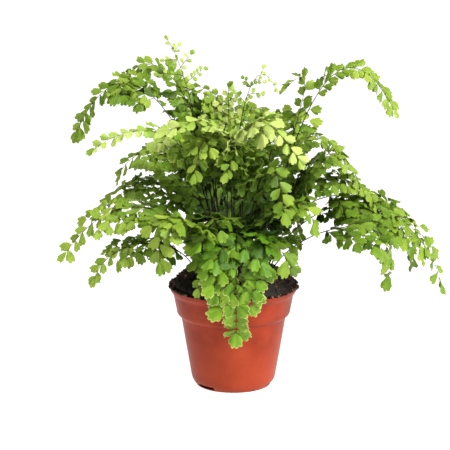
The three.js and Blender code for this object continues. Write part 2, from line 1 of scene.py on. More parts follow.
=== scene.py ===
# %% [markdown]
# # A maidenhair fern in a moulded pot
#
# A maidenhair fern holds thin, fan-shaped leaflets on stalks as dark and fine as wire. This one
# grows in a plastic nursery pot, heaped with crumbly potting soil. The solids of the packed
# model give every stalk its place. This script grows finer pieces in the same places, and gives
# each surface its finish.

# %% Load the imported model
import math
import random

import bmesh
import bpy
from mathutils import Matrix, Vector, noise


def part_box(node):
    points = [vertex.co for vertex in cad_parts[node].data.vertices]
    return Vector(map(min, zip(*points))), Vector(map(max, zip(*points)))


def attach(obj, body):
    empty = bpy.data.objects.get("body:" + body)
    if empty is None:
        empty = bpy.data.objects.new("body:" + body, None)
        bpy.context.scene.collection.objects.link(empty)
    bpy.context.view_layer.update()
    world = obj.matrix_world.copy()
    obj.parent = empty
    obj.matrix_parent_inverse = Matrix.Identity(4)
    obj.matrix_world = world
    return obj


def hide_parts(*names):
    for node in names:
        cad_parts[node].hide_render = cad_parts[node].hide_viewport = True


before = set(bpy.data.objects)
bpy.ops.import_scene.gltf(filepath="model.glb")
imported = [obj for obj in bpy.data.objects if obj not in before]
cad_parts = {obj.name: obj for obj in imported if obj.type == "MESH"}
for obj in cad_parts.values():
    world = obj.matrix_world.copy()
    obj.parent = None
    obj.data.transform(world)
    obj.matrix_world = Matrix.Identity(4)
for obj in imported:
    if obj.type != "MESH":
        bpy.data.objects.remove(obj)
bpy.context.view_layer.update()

MM = 0.001

# %% [markdown]
# ## Camera
#
# The picture was taken from a little above the pot and from far away, so that the fern is
# barely foreshortened. A camera could be moved by eye until the view fits. Here a point in the
# middle of the plant, a tilt, and a distance of just over two metres place it instead, so that
# each can be measured and changed on its own. The focal length, in picture pixels, makes the
# pot and the spread of the fronds fill the same share of the picture.

# %% Camera
CAMERA_TILT = math.radians(13.3)
CAMERA_DISTANCE = 2.1
CAMERA_AIM = Vector((-0.008, 0, 0.1527))
FOCAL_PIXELS = 2254
PICTURE_PIXELS = 450


def add_object(name, data):
    made = bpy.data.objects.new(name, data)
    bpy.context.scene.collection.objects.link(made)
    return made


camera = add_object("camera", bpy.data.cameras.new("camera"))
looking = Vector((0, math.cos(CAMERA_TILT), -math.sin(CAMERA_TILT)))
camera.location = CAMERA_AIM - looking * CAMERA_DISTANCE
camera.rotation_euler = looking.to_track_quat("-Z", "Y").to_euler()
camera.data.lens = camera.data.sensor_width * FOCAL_PIXELS / PICTURE_PIXELS
bpy.context.scene.camera = camera
print("camera at", camera.location, "with a lens of", camera.data.lens, "mm")

# %% [markdown]
# ## Studio
#
# The plant stands on a pale table that glows, as in a light tent, so that it looks white and
# hardly any shadow falls on it. Stronger lamps could whiten the table too, but they would bleach
# the leaves. A dim, even world fills the deepest shadows. A soft lamp from the right and the
# front gives the pot and the leaflets their form, and a wider, weaker one from the upper left
# keeps that side green. Plain display colours keep the greens as full as they are.

# %% Studio
WORLD_BRIGHTNESS = 0.15
KEY_PLACE = Vector((1.45, -1.2, 1.5))
KEY_SIZE = 0.8
KEY_POWER = 93.0
FILL_PLACE = Vector((-1.1, -0.8, 1.9))
FILL_SIZE = 1.0
FILL_POWER = 30.0
WHITE = (1, 1, 1, 1)


def soft_lamp(name, place, size, power):
    lamp = add_object(name, bpy.data.lights.new(name, "AREA"))
    lamp.data.shape = "DISK"
    lamp.data.size = size
    lamp.data.energy = power
    lamp.location = place
    lamp.rotation_euler = (CAMERA_AIM - place).to_track_quat("-Z", "Y").to_euler()


world = bpy.data.worlds.new("light_tent")
world.use_nodes = True
world.node_tree.nodes["Background"].inputs["Color"].default_value = WHITE
world.node_tree.nodes["Background"].inputs["Strength"].default_value = WORLD_BRIGHTNESS
bpy.context.scene.world = world
bpy.context.scene.view_settings.view_transform = "Standard"
soft_lamp("key_lamp", KEY_PLACE, KEY_SIZE, KEY_POWER)
soft_lamp("fill_lamp", FILL_PLACE, FILL_SIZE, FILL_POWER)
print("lamps of", KEY_POWER, "and", FILL_POWER, "watts")

# %% [markdown]
# The table is one flat square, wide enough that its edges lie far outside the picture.

# %% Table
FLOOR_SIZE = 30.0


def mesh_of(name, shape):
    """The bmesh as a mesh. The bmesh itself is freed."""
    mesh = bpy.data.meshes.new(name)
    shape.to_mesh(mesh)
    shape.free()
    return mesh


floor_shape = bmesh.new()
bmesh.ops.create_grid(floor_shape, x_segments=1, y_segments=1, size=FLOOR_SIZE / 2)
floor = add_object("floor", mesh_of("floor", floor_shape))
print("table", FLOOR_SIZE, "m wide")

# %% [markdown]
# ## Tools for finishes
#
# A finish is a tree of nodes. It could be drawn by hand in the shader editor, but helpers write
# it down in short lines that can be read and changed. They add a node with its settings, do
# sums, mix two colours, lay colours along a scale from 0 to 1, read soft clouds of noise, and
# set the sockets of the shader.

# %% Helpers that add nodes
def new_finish(name):
    finish = bpy.data.materials.new(name)
    finish.use_nodes = True
    return finish


def node(finish, kind, inputs, **settings):
    made = finish.node_tree.nodes.new("ShaderNode" + kind)
    for key, value in settings.items():
        setattr(made, key, value)
    for key, value in inputs.items():
        join(finish, value, made.inputs[key])
    return made


def join(finish, value, socket):
    """Links another node's output to the socket, or sets the socket to a plain value."""
    if isinstance(value, bpy.types.NodeSocket):
        finish.node_tree.links.new(value, socket)
    else:
        socket.default_value = value


def give(finish, socket, value):
    join(finish, value, finish.node_tree.nodes["Principled BSDF"].inputs[socket])


# %% Helpers for places and values
def object_place(finish):
    return node(finish, "TexCoord", {}).outputs["Object"]


def height_of(finish, place):
    return node(finish, "SeparateXYZ", {0: place}).outputs["Z"]


def stored_tone(finish):
    """The value named tone that a piece stores on its points."""
    return node(finish, "Attribute", {}, attribute_name="tone").outputs["Fac"]


def maths(finish, operation, *values):
    return node(finish, "Math", dict(enumerate(values)), operation=operation).outputs[0]


def scaled(finish, value, factor, plus=0.0):
    return maths(finish, "MULTIPLY_ADD", value, factor, plus)


def swayed(finish, value, by, share):
    """The value, moved down and up by half the share while by runs from 0 to 1."""
    return scaled(finish, by, share, maths(finish, "SUBTRACT", value, share / 2))


def ranged(finish, share, low, high):
    """From low to high while the share runs from 0 to 1."""
    return scaled(finish, share, high - low, low)


def rise(finish, value, low, high):
    """0 at low and before it, 1 at high and past it, and smooth in between."""
    inputs = {"Value": value, "From Min": low, "From Max": high}
    return node(finish, "MapRange", inputs, interpolation_type="SMOOTHSTEP").outputs[0]


# %% Helpers for patterns and colours
def cloudy(finish, place, size, detail=3.0):
    """Soft noise, whose clouds are about size across, from 0 to 1."""
    inputs = {"Vector": place, "Scale": 1 / size, "Detail": detail}
    return node(finish, "TexNoise", inputs).outputs[0]


def mixed(finish, share, first, second):
    inputs = {0: share, 6: first, 7: second}
    return node(finish, "Mix", inputs, data_type="RGBA").outputs[2]


def scale_of_colours(finish, value, stops):
    ramp = node(finish, "ValToRGB", {0: value})
    places = ramp.color_ramp.elements
    while len(places) < len(stops):
        places.new(0.5)
    for place, (position, colour) in zip(places, stops):
        place.position = position
        place.color = (*colour, 1)
    return ramp.outputs[0]


def bumpy(finish, height, depth, strength):
    inputs = {"Height": height, "Distance": depth, "Strength": strength}
    give(finish, "Normal", node(finish, "Bump", inputs).outputs[0])


# %% [markdown]
# The table is pale grey with a faint grain. White paint alone would still look grey in so soft a
# light, so the table's own glow lifts it to paper white.

# %% Table finish
FLOOR_GREYS = ((0.30, 0.30, 0.30, 1), (0.34, 0.34, 0.34, 1))
FLOOR_GRAIN = 20 * MM
FLOOR_ROUGHNESS = 0.9
FLOOR_GLOW = 0.95


def table_finish():
    finish = new_finish("pale_table")
    grain = cloudy(finish, object_place(finish), FLOOR_GRAIN)
    give(finish, "Base Color", mixed(finish, grain, *FLOOR_GREYS))
    give(finish, "Roughness", FLOOR_ROUGHNESS)
    give(finish, "Emission Color", WHITE)
    give(finish, "Emission Strength", FLOOR_GLOW)
    return finish


floor.data.materials.append(table_finish())
print("table finish:", floor.data.materials[0].name)

# %% [markdown]
# ## Tools for pieces
#
# Every piece is one mesh, made with a bmesh. These helpers turn a bmesh into an object of the
# scene, and grow a tube along a row of frames. A frame is a matrix whose X axis points along
# the stalk, whose Y axis points to its left, and whose Z axis is the side that faces the light.
# A curve with a bevel depth would make a tube too. Here the tube starts as a circle that is
# extruded from frame to frame, so that a wiry stalk keeps an even section round every bend and
# can share one mesh with its leaflets.

# %% Helpers that build a piece
ROOT_BODY = "root"
FULL_TURN = 2 * math.pi
ACROSS = Matrix.Rotation(math.pi / 2, 4, "Y")


def new_piece(name, shape, finishes, slot, *nodes):
    """The bmesh becomes an object that rides on the pot's body and stands for the nodes."""
    piece = add_object(name, mesh_of(name, shape))
    for finish in finishes:
        piece.data.materials.append(finish)
    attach(piece, ROOT_BODY)
    if nodes:
        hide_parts(*nodes)
    print(name, "has", len(piece.data.polygons), "faces")
    return piece


def smooth(piece, sharp_above=None):
    """Shades the faces smoothly, and keeps the edges sharp above an angle, if one is given."""
    for face in piece.data.polygons:
        face.use_smooth = True
    if sharp_above:
        piece.data.set_sharp_from_angle(angle=math.radians(sharp_above))


def only(kind, geometry):
    return [part for part in geometry if isinstance(part, kind)]


def grow_tube(shape, frames, radii, sides):
    """Adds a closed tube through the frames."""
    start = bmesh.ops.create_circle(
        shape, cap_ends=True, radius=radii[0], segments=sides, matrix=frames[0] @ ACROSS)
    ring = start["verts"][0].link_faces[0].edges[:]
    for before, after, old, new in zip(frames, frames[1:], radii, radii[1:]):
        grown = bmesh.ops.extrude_edge_only(shape, edges=ring)["geom"]
        ring = [edge for edge in only(bmesh.types.BMEdge, grown) if edge.is_boundary]
        move = after @ Matrix.Scale(new / old, 4) @ before.inverted()
        bmesh.ops.transform(shape, matrix=move, verts=only(bmesh.types.BMVert, grown))
    bmesh.ops.edgeloop_fill(shape, edges=ring)


def spin_line(shape, points, angle, steps, near):
    """Draws a line through the points, spins it about Z, and merges points that are near."""
    verts = [shape.verts.new(point) for point in points]
    edges = [shape.edges.new(pair) for pair in zip(verts, verts[1:])]
    bmesh.ops.spin(
        shape, geom=verts + edges, cent=(0, 0, 0), axis=(0, 0, 1), dvec=(0, 0, 0),
        angle=angle, steps=steps, use_merge=angle == FULL_TURN, use_duplicate=False)
    bmesh.ops.remove_doubles(shape, verts=shape.verts, dist=near)


# %% [markdown]
# ## Pot
#
# The pot is a thin shell, drawn straight out of its mould: a flat base, a rounded foot with
# drain slots, a plain tapered body, a deep collar and a small lip. Scaled cylinders could be
# stacked and joined, but such a pot is round all over, so a sheet is spun from its profile. The
# rings at its corners are bevelled, the faces of each slot are deleted, and a Solidify modifier
# then gives it its wall. The lip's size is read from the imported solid.

# %% Pot sizes
POT_LOW, POT_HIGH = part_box("pot")
LIP_RADIUS = (POT_HIGH.x - POT_LOW.x) / 2
LIP_TOP = POT_HIGH.z
WALL = 1.2 * MM
POT_STEPS = 96
DRAIN_SLOTS = 3
DRAIN_TURN = 224
DRAIN_HALF_WIDTH = 10 * MM
DRAIN_HEIGHT = 4.6 * MM
DRAIN_INNER = 33.5 * MM
SAME_PLACE = 0.01 * MM
CORNER_STEPS = 4

# Radius, height and corner rounding of the outside, from the base up to the lip
POT_PROFILE = [
    (24.0, 0.9, 0.0), (26.0, 0.0, 0.0), (35.0, 0.0, 0.0), (39.0, 5.6, 3.4), (49.2, 66.0, 0.8),
    (53.0, 69.2, 1.6), (56.4, 87.6, 1.6), (59.2, 91.2, 0.8), (60.0, 94.5, 0.0),
]
print("lip radius", LIP_RADIUS, "and height", LIP_TOP)

# %% Pot shape
def ring_of(shape, height):
    """The edges that go round at this height, on the outside."""
    return [
        edge for edge in shape.edges
        if all(abs(vert.co.z - height) < SAME_PLACE for vert in edge.verts)
        and abs(edge.verts[0].co.xy.length - edge.verts[1].co.xy.length) < SAME_PLACE]


def in_drain(point):
    """Whether a point of the foot lies in one of the drain slots."""
    if point.z > DRAIN_HEIGHT or point.xy.length < DRAIN_INNER:
        return False
    for slot in range(DRAIN_SLOTS):
        middle = math.radians(DRAIN_TURN + slot * 360 / DRAIN_SLOTS)
        sideways = point.y * math.cos(middle) - point.x * math.sin(middle)
        outward = point.x * math.cos(middle) + point.y * math.sin(middle)
        if outward > 0 and abs(sideways) < DRAIN_HALF_WIDTH:
            return True
    return False


def pot_shape():
    shape = bmesh.new()
    corners = [(0, 0, POT_PROFILE[0][1] * MM)]
    corners += [(radius * MM, 0, height * MM) for radius, height, _ in POT_PROFILE]
    spin_line(shape, corners, FULL_TURN, POT_STEPS, SAME_PLACE)
    for _, height, rounding in POT_PROFILE:
        if rounding:
            bmesh.ops.bevel(
                shape, geom=ring_of(shape, height * MM), offset=rounding * MM,
                segments=CORNER_STEPS, profile=0.5, affect="EDGES", material=-1)
    cut = [face for face in shape.faces if in_drain(face.calc_center_median())]
    bmesh.ops.delete(shape, geom=cut, context="FACES")
    bmesh.ops.recalc_face_normals(shape, faces=shape.faces)
    print("pot sheet faces:", len(shape.faces), "cut for the drain slots:", len(cut))
    return shape


# %% [markdown]
# The plastic is terracotta red with a satin skin. Its colour wanders a little, as recycled
# plastic does, and painted light makes it lighter towards the foot. Faint rings from the turning
# of the mould run round it, crumbs of soil have left smears under the lip and at the foot, and
# handling has made some places glossier than others. One flat colour would look like painted
# card, so each of these is a pattern of its own, laid over the last.

# %% Pot finish
TERRACOTTA_DARK = (0.21, 0.023, 0.007)
TERRACOTTA = (0.28, 0.032, 0.010)
TERRACOTTA_LIGHT = (0.36, 0.050, 0.017)
POT_COLOURS = [(0.3, TERRACOTTA_DARK), (0.5, TERRACOTTA), (0.75, TERRACOTTA_LIGHT)]
POT_CLOUDS = 26 * MM
# Painted light: the height where it starts, the height where it is full towards the foot, and how
# much lighter it makes the plastic
PAINTED_LIGHT_FROM, PAINTED_LIGHT_TO, PAINTED_LIGHT_SHARE = 62 * MM, 14 * MM, 0.45
SMEAR = (0.060, 0.026, 0.016, 1)
SMEARED_LIP = (84 * MM, 96 * MM)
SMEARED_FOOT = (12 * MM, 0.0)
SMEAR_CLOUDS, SMEAR_FROM, SMEAR_TO, SMEAR_SHARE = 5 * MM, 0.56, 0.72, 0.55
SMEAR_ROUGHNESS = 0.5
HANDLED_CLOUDS = 14 * MM
POT_ROUGHNESS = (0.30, 0.54)
MOULD_RINGS = {"Scale": 42.0, "Distortion": 0.4}
SKIN_GRAIN, SKIN_SHARE = 0.9 * MM, 0.6


def pot_finish():
    finish = new_finish("terracotta_plastic")
    place = object_place(finish)
    height = height_of(finish, place)
    colour = scale_of_colours(finish, cloudy(finish, place, POT_CLOUDS, 4.0), POT_COLOURS)
    # Painted light: the colour turns lighter towards the foot
    painted_light = scaled(finish, rise(finish, height, PAINTED_LIGHT_FROM, PAINTED_LIGHT_TO), PAINTED_LIGHT_SHARE)
    colour = mixed(finish, painted_light, colour, (*TERRACOTTA_LIGHT, 1))
    smears = pot_smears(finish, place, height)
    give(finish, "Base Color", mixed(finish, smears, colour, SMEAR))
    handled = ranged(finish, cloudy(finish, place, HANDLED_CLOUDS, 5.0), *POT_ROUGHNESS)
    give(finish, "Roughness", scaled(finish, smears, SMEAR_ROUGHNESS, handled))
    rings = node(finish, "TexWave", {"Vector": place, **MOULD_RINGS},
                 wave_type="BANDS", bands_direction="Z").outputs[1]
    skin = scaled(finish, cloudy(finish, place, SKIN_GRAIN), SKIN_SHARE, rings)
    bumpy(finish, skin, 0.05 * MM, 0.5)
    give(finish, "Specular IOR Level", 0.12)
    return finish


def pot_smears(finish, place, height):
    """Where soil has smeared the plastic: in spots, close to the lip and to the foot."""
    near_lip = rise(finish, height, *SMEARED_LIP)
    near_foot = rise(finish, height, *SMEARED_FOOT)
    dirty = maths(finish, "MAXIMUM", near_lip, near_foot)
    spots = rise(finish, cloudy(finish, place, SMEAR_CLOUDS, 6.0), SMEAR_FROM, SMEAR_TO)
    return scaled(finish, maths(finish, "MULTIPLY", dirty, spots), SMEAR_SHARE)


# %% [markdown]
# The wall could be modelled as a second, inner profile, but a Solidify modifier keeps it even,
# also at the edges of the slots. A narrow Bevel after it takes the sharpness off every edge, so
# that the lip catches a thin line of light as moulded plastic does.

# %% Make the pot
EDGE_ROUNDING = 0.3 * MM
EDGE_ANGLE = 50


def finish_with_wall(piece):
    """Gives the sheet its wall, inwards, and rounds the edges that this leaves sharp."""
    wall = piece.modifiers.new("wall", "SOLIDIFY")
    wall.thickness = WALL
    wall.offset = -1
    wall.use_even_offset = True
    rounded = piece.modifiers.new("rounded_edges", "BEVEL")
    rounded.width = EDGE_ROUNDING
    rounded.segments = 2
    rounded.limit_method = "ANGLE"
    rounded.angle_limit = math.radians(EDGE_ANGLE)
    rounded.harden_normals = True


pot = new_piece("moulded_pot", pot_shape(), [pot_finish()], "pot_plastic", "pot")
smooth(pot)
finish_with_wall(pot)

# %% [markdown]
# ## Potting soil
#
# The soil fills the pot and is heaped over its lip. It could be a displaced disc that only seems
# to fill the pot. Here its body is spun from the inner profile of the pot, as real soil has the
# pot's shape, with rings close together on top, which noise then pushes into lumps and grains.

# %% Soil sizes
SOIL_PROFILE = [(0, 2.2), (33.5, 2.2), (37.3, 7.6), (47.6, 67.6), (51.5, 71.0), (54.8, 89.5)]
HEAP_TOP = 109 * MM
HEAP_EDGE = 98 * MM
HEAP_RADIUS = 57 * MM
HEAP_FOOT = 92.5 * MM
HEAP_FLATNESS = 6
HEAP_RINGS = 22
FIRST_RING = 0.4
SOIL_STEPS = 120

# Size and height of the bumps, and the height at which the noise is sliced
LUMPS = (9 * MM, 1.5 * MM, 0.2)
GRAINS = (3 * MM, 0.8 * MM, 0.7)


def between(low, high, share):
    return low + (high - low) * share


def bumps(x, y, size, height, slice_at):
    return noise.noise(Vector((x, y, slice_at)) / size) * height


def heap_height(x, y):
    """Height of the soil's surface at a place, in metres."""
    share = min(math.hypot(x, y) / HEAP_RADIUS, 1)
    base = HEAP_TOP + (HEAP_EDGE - HEAP_TOP) * share ** HEAP_FLATNESS
    return base + bumps(x, y, *LUMPS) + bumps(x, y, *GRAINS)


print("height of the heap in its middle:", heap_height(0, 0))

# %% Soil body
def soil_shape():
    shape = bmesh.new()
    corners = [(radius * MM, 0, height * MM) for radius, height in SOIL_PROFILE]
    corners.append((HEAP_RADIUS, 0, HEAP_FOOT))
    for ring in range(HEAP_RINGS):
        radius = HEAP_RADIUS * (1 - (ring + FIRST_RING) / HEAP_RINGS)
        corners.append((radius, 0, HEAP_EDGE))
    corners.append((0, 0, HEAP_EDGE))
    spin_line(shape, corners, FULL_TURN, SOIL_STEPS, SAME_PLACE)
    for vert in shape.verts:
        if vert.co.z > HEAP_FOOT + MM:
            vert.co.z = heap_height(vert.co.x, vert.co.y)
    bmesh.ops.recalc_face_normals(shape, faces=shape.faces)
    return shape


# %% [markdown]
# The soil is nearly black where it is damp, with reddish brown bark and fibre in it. Two finishes
# could share the work, one for the heap and one for its crumbs. A value named tone is stored on
# every crumb instead, so that one finish shows dark peat, brown bark and the odd pale grain.

# %% Soil finish
PEAT_BLACK = (0.008, 0.006, 0.0045)
PEAT = (0.022, 0.014, 0.009)
BARK = (0.105, 0.042, 0.025)
PALE_GRAIN = (0.20, 0.115, 0.065)
SOIL_COLOURS = [(0.2, PEAT_BLACK), (0.45, PEAT), (0.72, BARK), (0.96, PALE_GRAIN)]
FINE_CLOUDS, FINE_SHARE = 2.2 * MM, 0.5
BROAD_CLOUDS, BROAD_SHARE = 16 * MM, 0.25
SOIL_TONE_SHARE, SOIL_DARKER = 0.6, 0.12
SOIL_ROUGHNESS = (0.55, 0.95)


def soil_finish():
    finish = new_finish("damp_peat")
    place = object_place(finish)
    fine = cloudy(finish, place, FINE_CLOUDS, 8.0)
    broad = cloudy(finish, place, BROAD_CLOUDS, 2.0)
    shade = scaled(finish, stored_tone(finish), SOIL_TONE_SHARE)
    shade = maths(finish, "SUBTRACT", scaled(finish, fine, FINE_SHARE, shade), SOIL_DARKER)
    shade = scaled(finish, broad, BROAD_SHARE, shade)
    give(finish, "Base Color", scale_of_colours(finish, shade, SOIL_COLOURS))
    give(finish, "Roughness", ranged(finish, fine, *SOIL_ROUGHNESS))
    bumpy(finish, fine, 0.7 * MM, 0.8)
    give(finish, "Specular IOR Level", 0.25)
    return finish


DAMP_PEAT = soil_finish()
soil = new_piece("soil_heap", soil_shape(), [DAMP_PEAT], "soil", "potting_soil")
smooth(soil, sharp_above=40)

# %% [markdown]
# Loose crumbs lie all over the heap, and some have rolled onto the lip. A particle system could
# scatter them, but it would have to be turned into mesh before an export, so a seeded loop adds
# them as mesh from the start. Crumbs repeat by the hundred, so each is a rough stone of 20
# faces. A few stones are made once, and every crumb copies one of them, turned and sized by
# chance.

# %% Helpers that scatter copies
def toned_shape():
    """An empty bmesh that stores a tone for each of its points."""
    shape = bmesh.new()
    shape.verts.layers.float.new("tone")
    return shape


def add_mesh(shape, mesh, tones):
    """Moves a mesh into the bmesh, with a tone for each of its points."""
    mesh.attributes.new("tone", "FLOAT", "POINT").data.foreach_set("value", tones)
    shape.from_mesh(mesh)
    bpy.data.meshes.remove(mesh)


def add_copy(shape, model, matrix, tone):
    """Adds one copy of a small mesh to the bmesh, in its place and with its own tone."""
    copy = model.copy()
    copy.transform(matrix)
    add_mesh(shape, copy, [tone] * len(copy.vertices))


def turned(degrees, axis):
    return Matrix.Rotation(math.radians(degrees), 4, axis)


def any_turn(chance):
    angles = [chance.uniform(0, FULL_TURN) for _ in range(3)]
    turn = Matrix.Rotation(angles[0], 4, "X") @ Matrix.Rotation(angles[1], 4, "Y")
    return turn @ Matrix.Rotation(angles[2], 4, "Z")


# %% Rough stones
STONE_KINDS = 7
STONE_STRETCH = (0.65, 1.15)
STONE_ROUGHNESS = (0.8, 1.2)


def rough_stone(chance, name):
    shape = bmesh.new()
    bmesh.ops.create_icosphere(shape, subdivisions=1, radius=1.0)
    stretch = [chance.uniform(*STONE_STRETCH) for _ in range(3)]
    bmesh.ops.scale(shape, vec=stretch, verts=shape.verts)
    for vert in shape.verts:
        vert.co *= chance.uniform(*STONE_ROUGHNESS)
    return mesh_of(name, shape)


stone_chance = random.Random(11)
stones = [rough_stone(stone_chance, f"stone_{kind}") for kind in range(STONE_KINDS)]
print("stones:", len(stones), "of", len(stones[0].polygons), "faces")

# %% [markdown]
# Most crumbs are peat. Those that lie on the lip have dried, and many of them are brown bark.
# They lie in low piles at its left and its right end, where watering has washed them.

# %% Crumbs on the heap and on the lip
# A seat is how high a crumb's middle lies, beside its size. The lip's outside and inside say how
# far its crumbs lie from its edge, in millimetres.
CRUMBS = 1500
HEAP_REACH = 0.985
HEAP_SEAT = 0.35
HEAP_BARK = 0.16
LIP_CRUMBS = 520
LIP_SPREAD = 0.55
LIP_PILE = 2.6 * MM
LIP_SEAT = 0.5
LIP_BARK = 0.55
LIP_OUTSIDE, LIP_INSIDE = 0.4, -4.5
CRUMB_RADIUS = 0.75 * MM
SMALLEST_CRUMB, CRUMB_RANGE, CRUMB_CURVE = 0.7, 2.1, 2.5
BARK_TONES, PEAT_TONES = (0.75, 1.1), (0, 0.6)


def crumb_size(chance):
    """Most crumbs are small and a few are large."""
    return CRUMB_RADIUS * (SMALLEST_CRUMB + chance.random() ** CRUMB_CURVE * CRUMB_RANGE)


def crumb_tone(chance, bark):
    return chance.uniform(*(BARK_TONES if chance.random() < bark else PEAT_TONES))


def pile_height(angle, side):
    """How high the crumbs lie on the lip, which is most at its left and right end."""
    return LIP_PILE * math.exp(-((angle - side) / LIP_SPREAD) ** 2)


def add_crumb(shape, chance, place, size, bark):
    matrix = Matrix.Translation(place) @ any_turn(chance) @ Matrix.Scale(size, 4)
    add_copy(shape, chance.choice(stones), matrix, crumb_tone(chance, bark))


def crumbs_shape(chance):
    shape = toned_shape()
    for _ in range(CRUMBS):
        radius = HEAP_RADIUS * HEAP_REACH * math.sqrt(chance.random())
        angle = chance.uniform(0, FULL_TURN)
        size = crumb_size(chance)
        x, y = radius * math.cos(angle), radius * math.sin(angle)
        add_crumb(shape, chance, (x, y, heap_height(x, y) + HEAP_SEAT * size), size, HEAP_BARK)
    for _ in range(LIP_CRUMBS):
        side = chance.choice((0, math.pi))
        angle = side + chance.gauss(0, LIP_SPREAD)
        inward = chance.random()
        radius = LIP_RADIUS + between(LIP_OUTSIDE, LIP_INSIDE, inward) * MM
        size = crumb_size(chance)
        x, y = radius * math.cos(angle), radius * math.sin(angle)
        high = chance.random() * pile_height(angle, side) * inward
        add_crumb(shape, chance, (x, y, LIP_TOP + LIP_SEAT * size + high), size, LIP_BARK)
    return shape


new_piece("soil_crumbs", crumbs_shape(random.Random(23)), [DAMP_PEAT], "soil")

# %% [markdown]
# ## Leaflet shapes
#
# A maidenhair leaflet is a fan: a wedge with two straight sides, and a rounded outer edge cut
# into lobes. A flat card with a picture of a leaf on it would be quicker, but its edge would be
# wrong from every other side. So the outline is a real one, given by how far out the rim lies
# at each place across the fan.

# %% Leaflet outline
FAN_RINGS = (0.0, 0.45, 1.0)
BULGE = 0.5
STEPS_PER_LOBE = 3
END_LOBE = 0.3
SHOULDER_CURVE, CUT_CURVE = 2.4, 1.5


def rim_reach(across, lobes, cut, shoulder):
    """How far out the rim lies, across from -1 to 1: round, with a cut between lobes."""
    beat = (across + 1) / 2 * lobes
    inner = END_LOBE < beat < lobes - END_LOBE
    in_lobe = abs(math.sin(math.pi * beat)) if inner else 1.0
    return 1 - shoulder * abs(across) ** SHOULDER_CURVE - cut * (1 - in_lobe) ** CUT_CURVE


# %% [markdown]
# A spoke is spun about the base of the fan. The rim is then drawn in between the lobes, the fan
# is cupped, and solidify gives it its thin blade. The hair-fine stalk that holds it is a
# three-sided tube. A map named leaf stores how far across the fan and how far out each point
# lies, for the veins and the pale margin. A leaflet is made at a length of one and then sized
# for its place, because thousands are needed.

# %% Leaflet model
BLADE = 0.032
PETIOLE = 0.07
PETIOLE_END = 0.06
PETIOLE_RADIUS = 0.022
MODEL_NEAR = 1e-4
AT_BASE = 1e-6
CUP_MIDDLE = 0.6
BLADE_SHARP_ABOVE = 55


def fan_shape(spread, lobes, cut, shoulder, cup, lean, curl):
    """A leaflet of unit length at the origin, which points along X and faces Z."""
    shape = bmesh.new()
    half = math.radians(spread / 2)
    start = Matrix.Rotation(-half, 3, "Z")
    spoke = [start @ Vector((radius, 0, 0)) for radius in FAN_RINGS]
    spin_line(shape, spoke, 2 * half, lobes * STEPS_PER_LOBE, MODEL_NEAR)
    store_fan_map(shape, half)
    for vert in shape.verts:
        radius = vert.co.xy.length
        across = math.atan2(vert.co.y, vert.co.x) / half if radius > AT_BASE else 0.0
        reach = rim_reach(across, lobes, cut * radius, shoulder) * (1 + lean * across)
        turn = across * half * (1 + BULGE * (1 - radius))
        vert.co.x = radius * reach * math.cos(turn)
        vert.co.y = radius * reach * math.sin(turn)
        wave = curl * radius ** 3 * math.sin(across * math.pi * lobes / 2 + lobes)
        vert.co.z = -cup * radius ** 2 * (CUP_MIDDLE + across ** 2) + wave
    bmesh.ops.recalc_face_normals(shape, faces=shape.faces)
    return shape


def store_fan_map(shape, half):
    layer = shape.loops.layers.uv.new("leaf")
    for face in shape.faces:
        middle = face.calc_center_median()
        for loop in face.loops:
            point = loop.vert.co if loop.vert.co.xy.length > AT_BASE else middle
            across = math.atan2(point.y, point.x) / half
            loop[layer].uv = ((across + 1) / 2, loop.vert.co.xy.length)


def leaflet_model(name, *form):
    """A solid blade with its own small stalk behind it, as a mesh with two finishes."""
    shape = fan_shape(*form)
    bmesh.ops.solidify(shape, geom=shape.faces[:], thickness=BLADE)
    bmesh.ops.recalc_face_normals(shape, faces=shape.faces)
    blade_faces = set(shape.faces)
    frames = [Matrix.Translation((place, 0, 0)) for place in (-PETIOLE, PETIOLE_END)]
    grow_tube(shape, frames, [PETIOLE_RADIUS, PETIOLE_RADIUS], 3)
    stalk_faces = [face for face in shape.faces if face not in blade_faces]
    bmesh.ops.recalc_face_normals(shape, faces=stalk_faces)
    for face in stalk_faces:
        face.material_index = 1
    for face in shape.faces:
        face.smooth = True
    mesh = mesh_of(name, shape)
    mesh.set_sharp_from_angle(angle=math.radians(BLADE_SHARP_ABOVE))
    return mesh


# %% [markdown]
# Two families of leaflets are made. The wide ones end a rib or hang from the frond over the pot.
# The narrow ones line the ribs.

# %% Leaflet forms
# Spread of the fan in degrees, lobes, depth of the cuts, how far the shoulders are drawn in,
# cupping, lean to one side and curl of the rim
WIDE_FORMS = [
    (86, 4, 0.14, 0.42, 0.08, 0.05, 0.06), (94, 5, 0.12, 0.46, 0.12, -0.06, 0.07),
    (80, 4, 0.15, 0.40, 0.05, -0.03, 0.07),
]
NARROW_FORMS = [
    (70, 3, 0.14, 0.42, 0.07, 0.12, 0.05), (76, 4, 0.12, 0.46, 0.11, -0.14, 0.06),
    (60, 3, 0.13, 0.36, 0.14, 0.04, 0.05), (66, 3, 0.13, 0.42, 0.04, -0.08, 0.06),
]
WIDE = [leaflet_model(f"wide_{i}", *form) for i, form in enumerate(WIDE_FORMS)]
NARROW = [leaflet_model(f"narrow_{i}", *form) for i, form in enumerate(NARROW_FORMS)]
print("faces of a leaflet:", [len(model.polygons) for model in WIDE + NARROW])

# %% [markdown]
# ## Leaf and stalk finishes
#
# The leaflets run from deep green, where painted shade lowers their tone, to a fresh yellow green,
# and each has a tone of its own. Each is also a little darker at its base and lighter towards its
# rim, partly its own colour and partly painted shade at the base. Fine veins fan out from the
# base, and the lobes end in a thin, paler margin, which is cream in the lower part of the frond
# that hangs over the pot. A photograph could be laid on the leaf, but veins that nodes draw from
# the leaf map stay crisp on a leaflet of any size. The blade is so thin that light comes through
# it, which a little subsurface scattering gives.

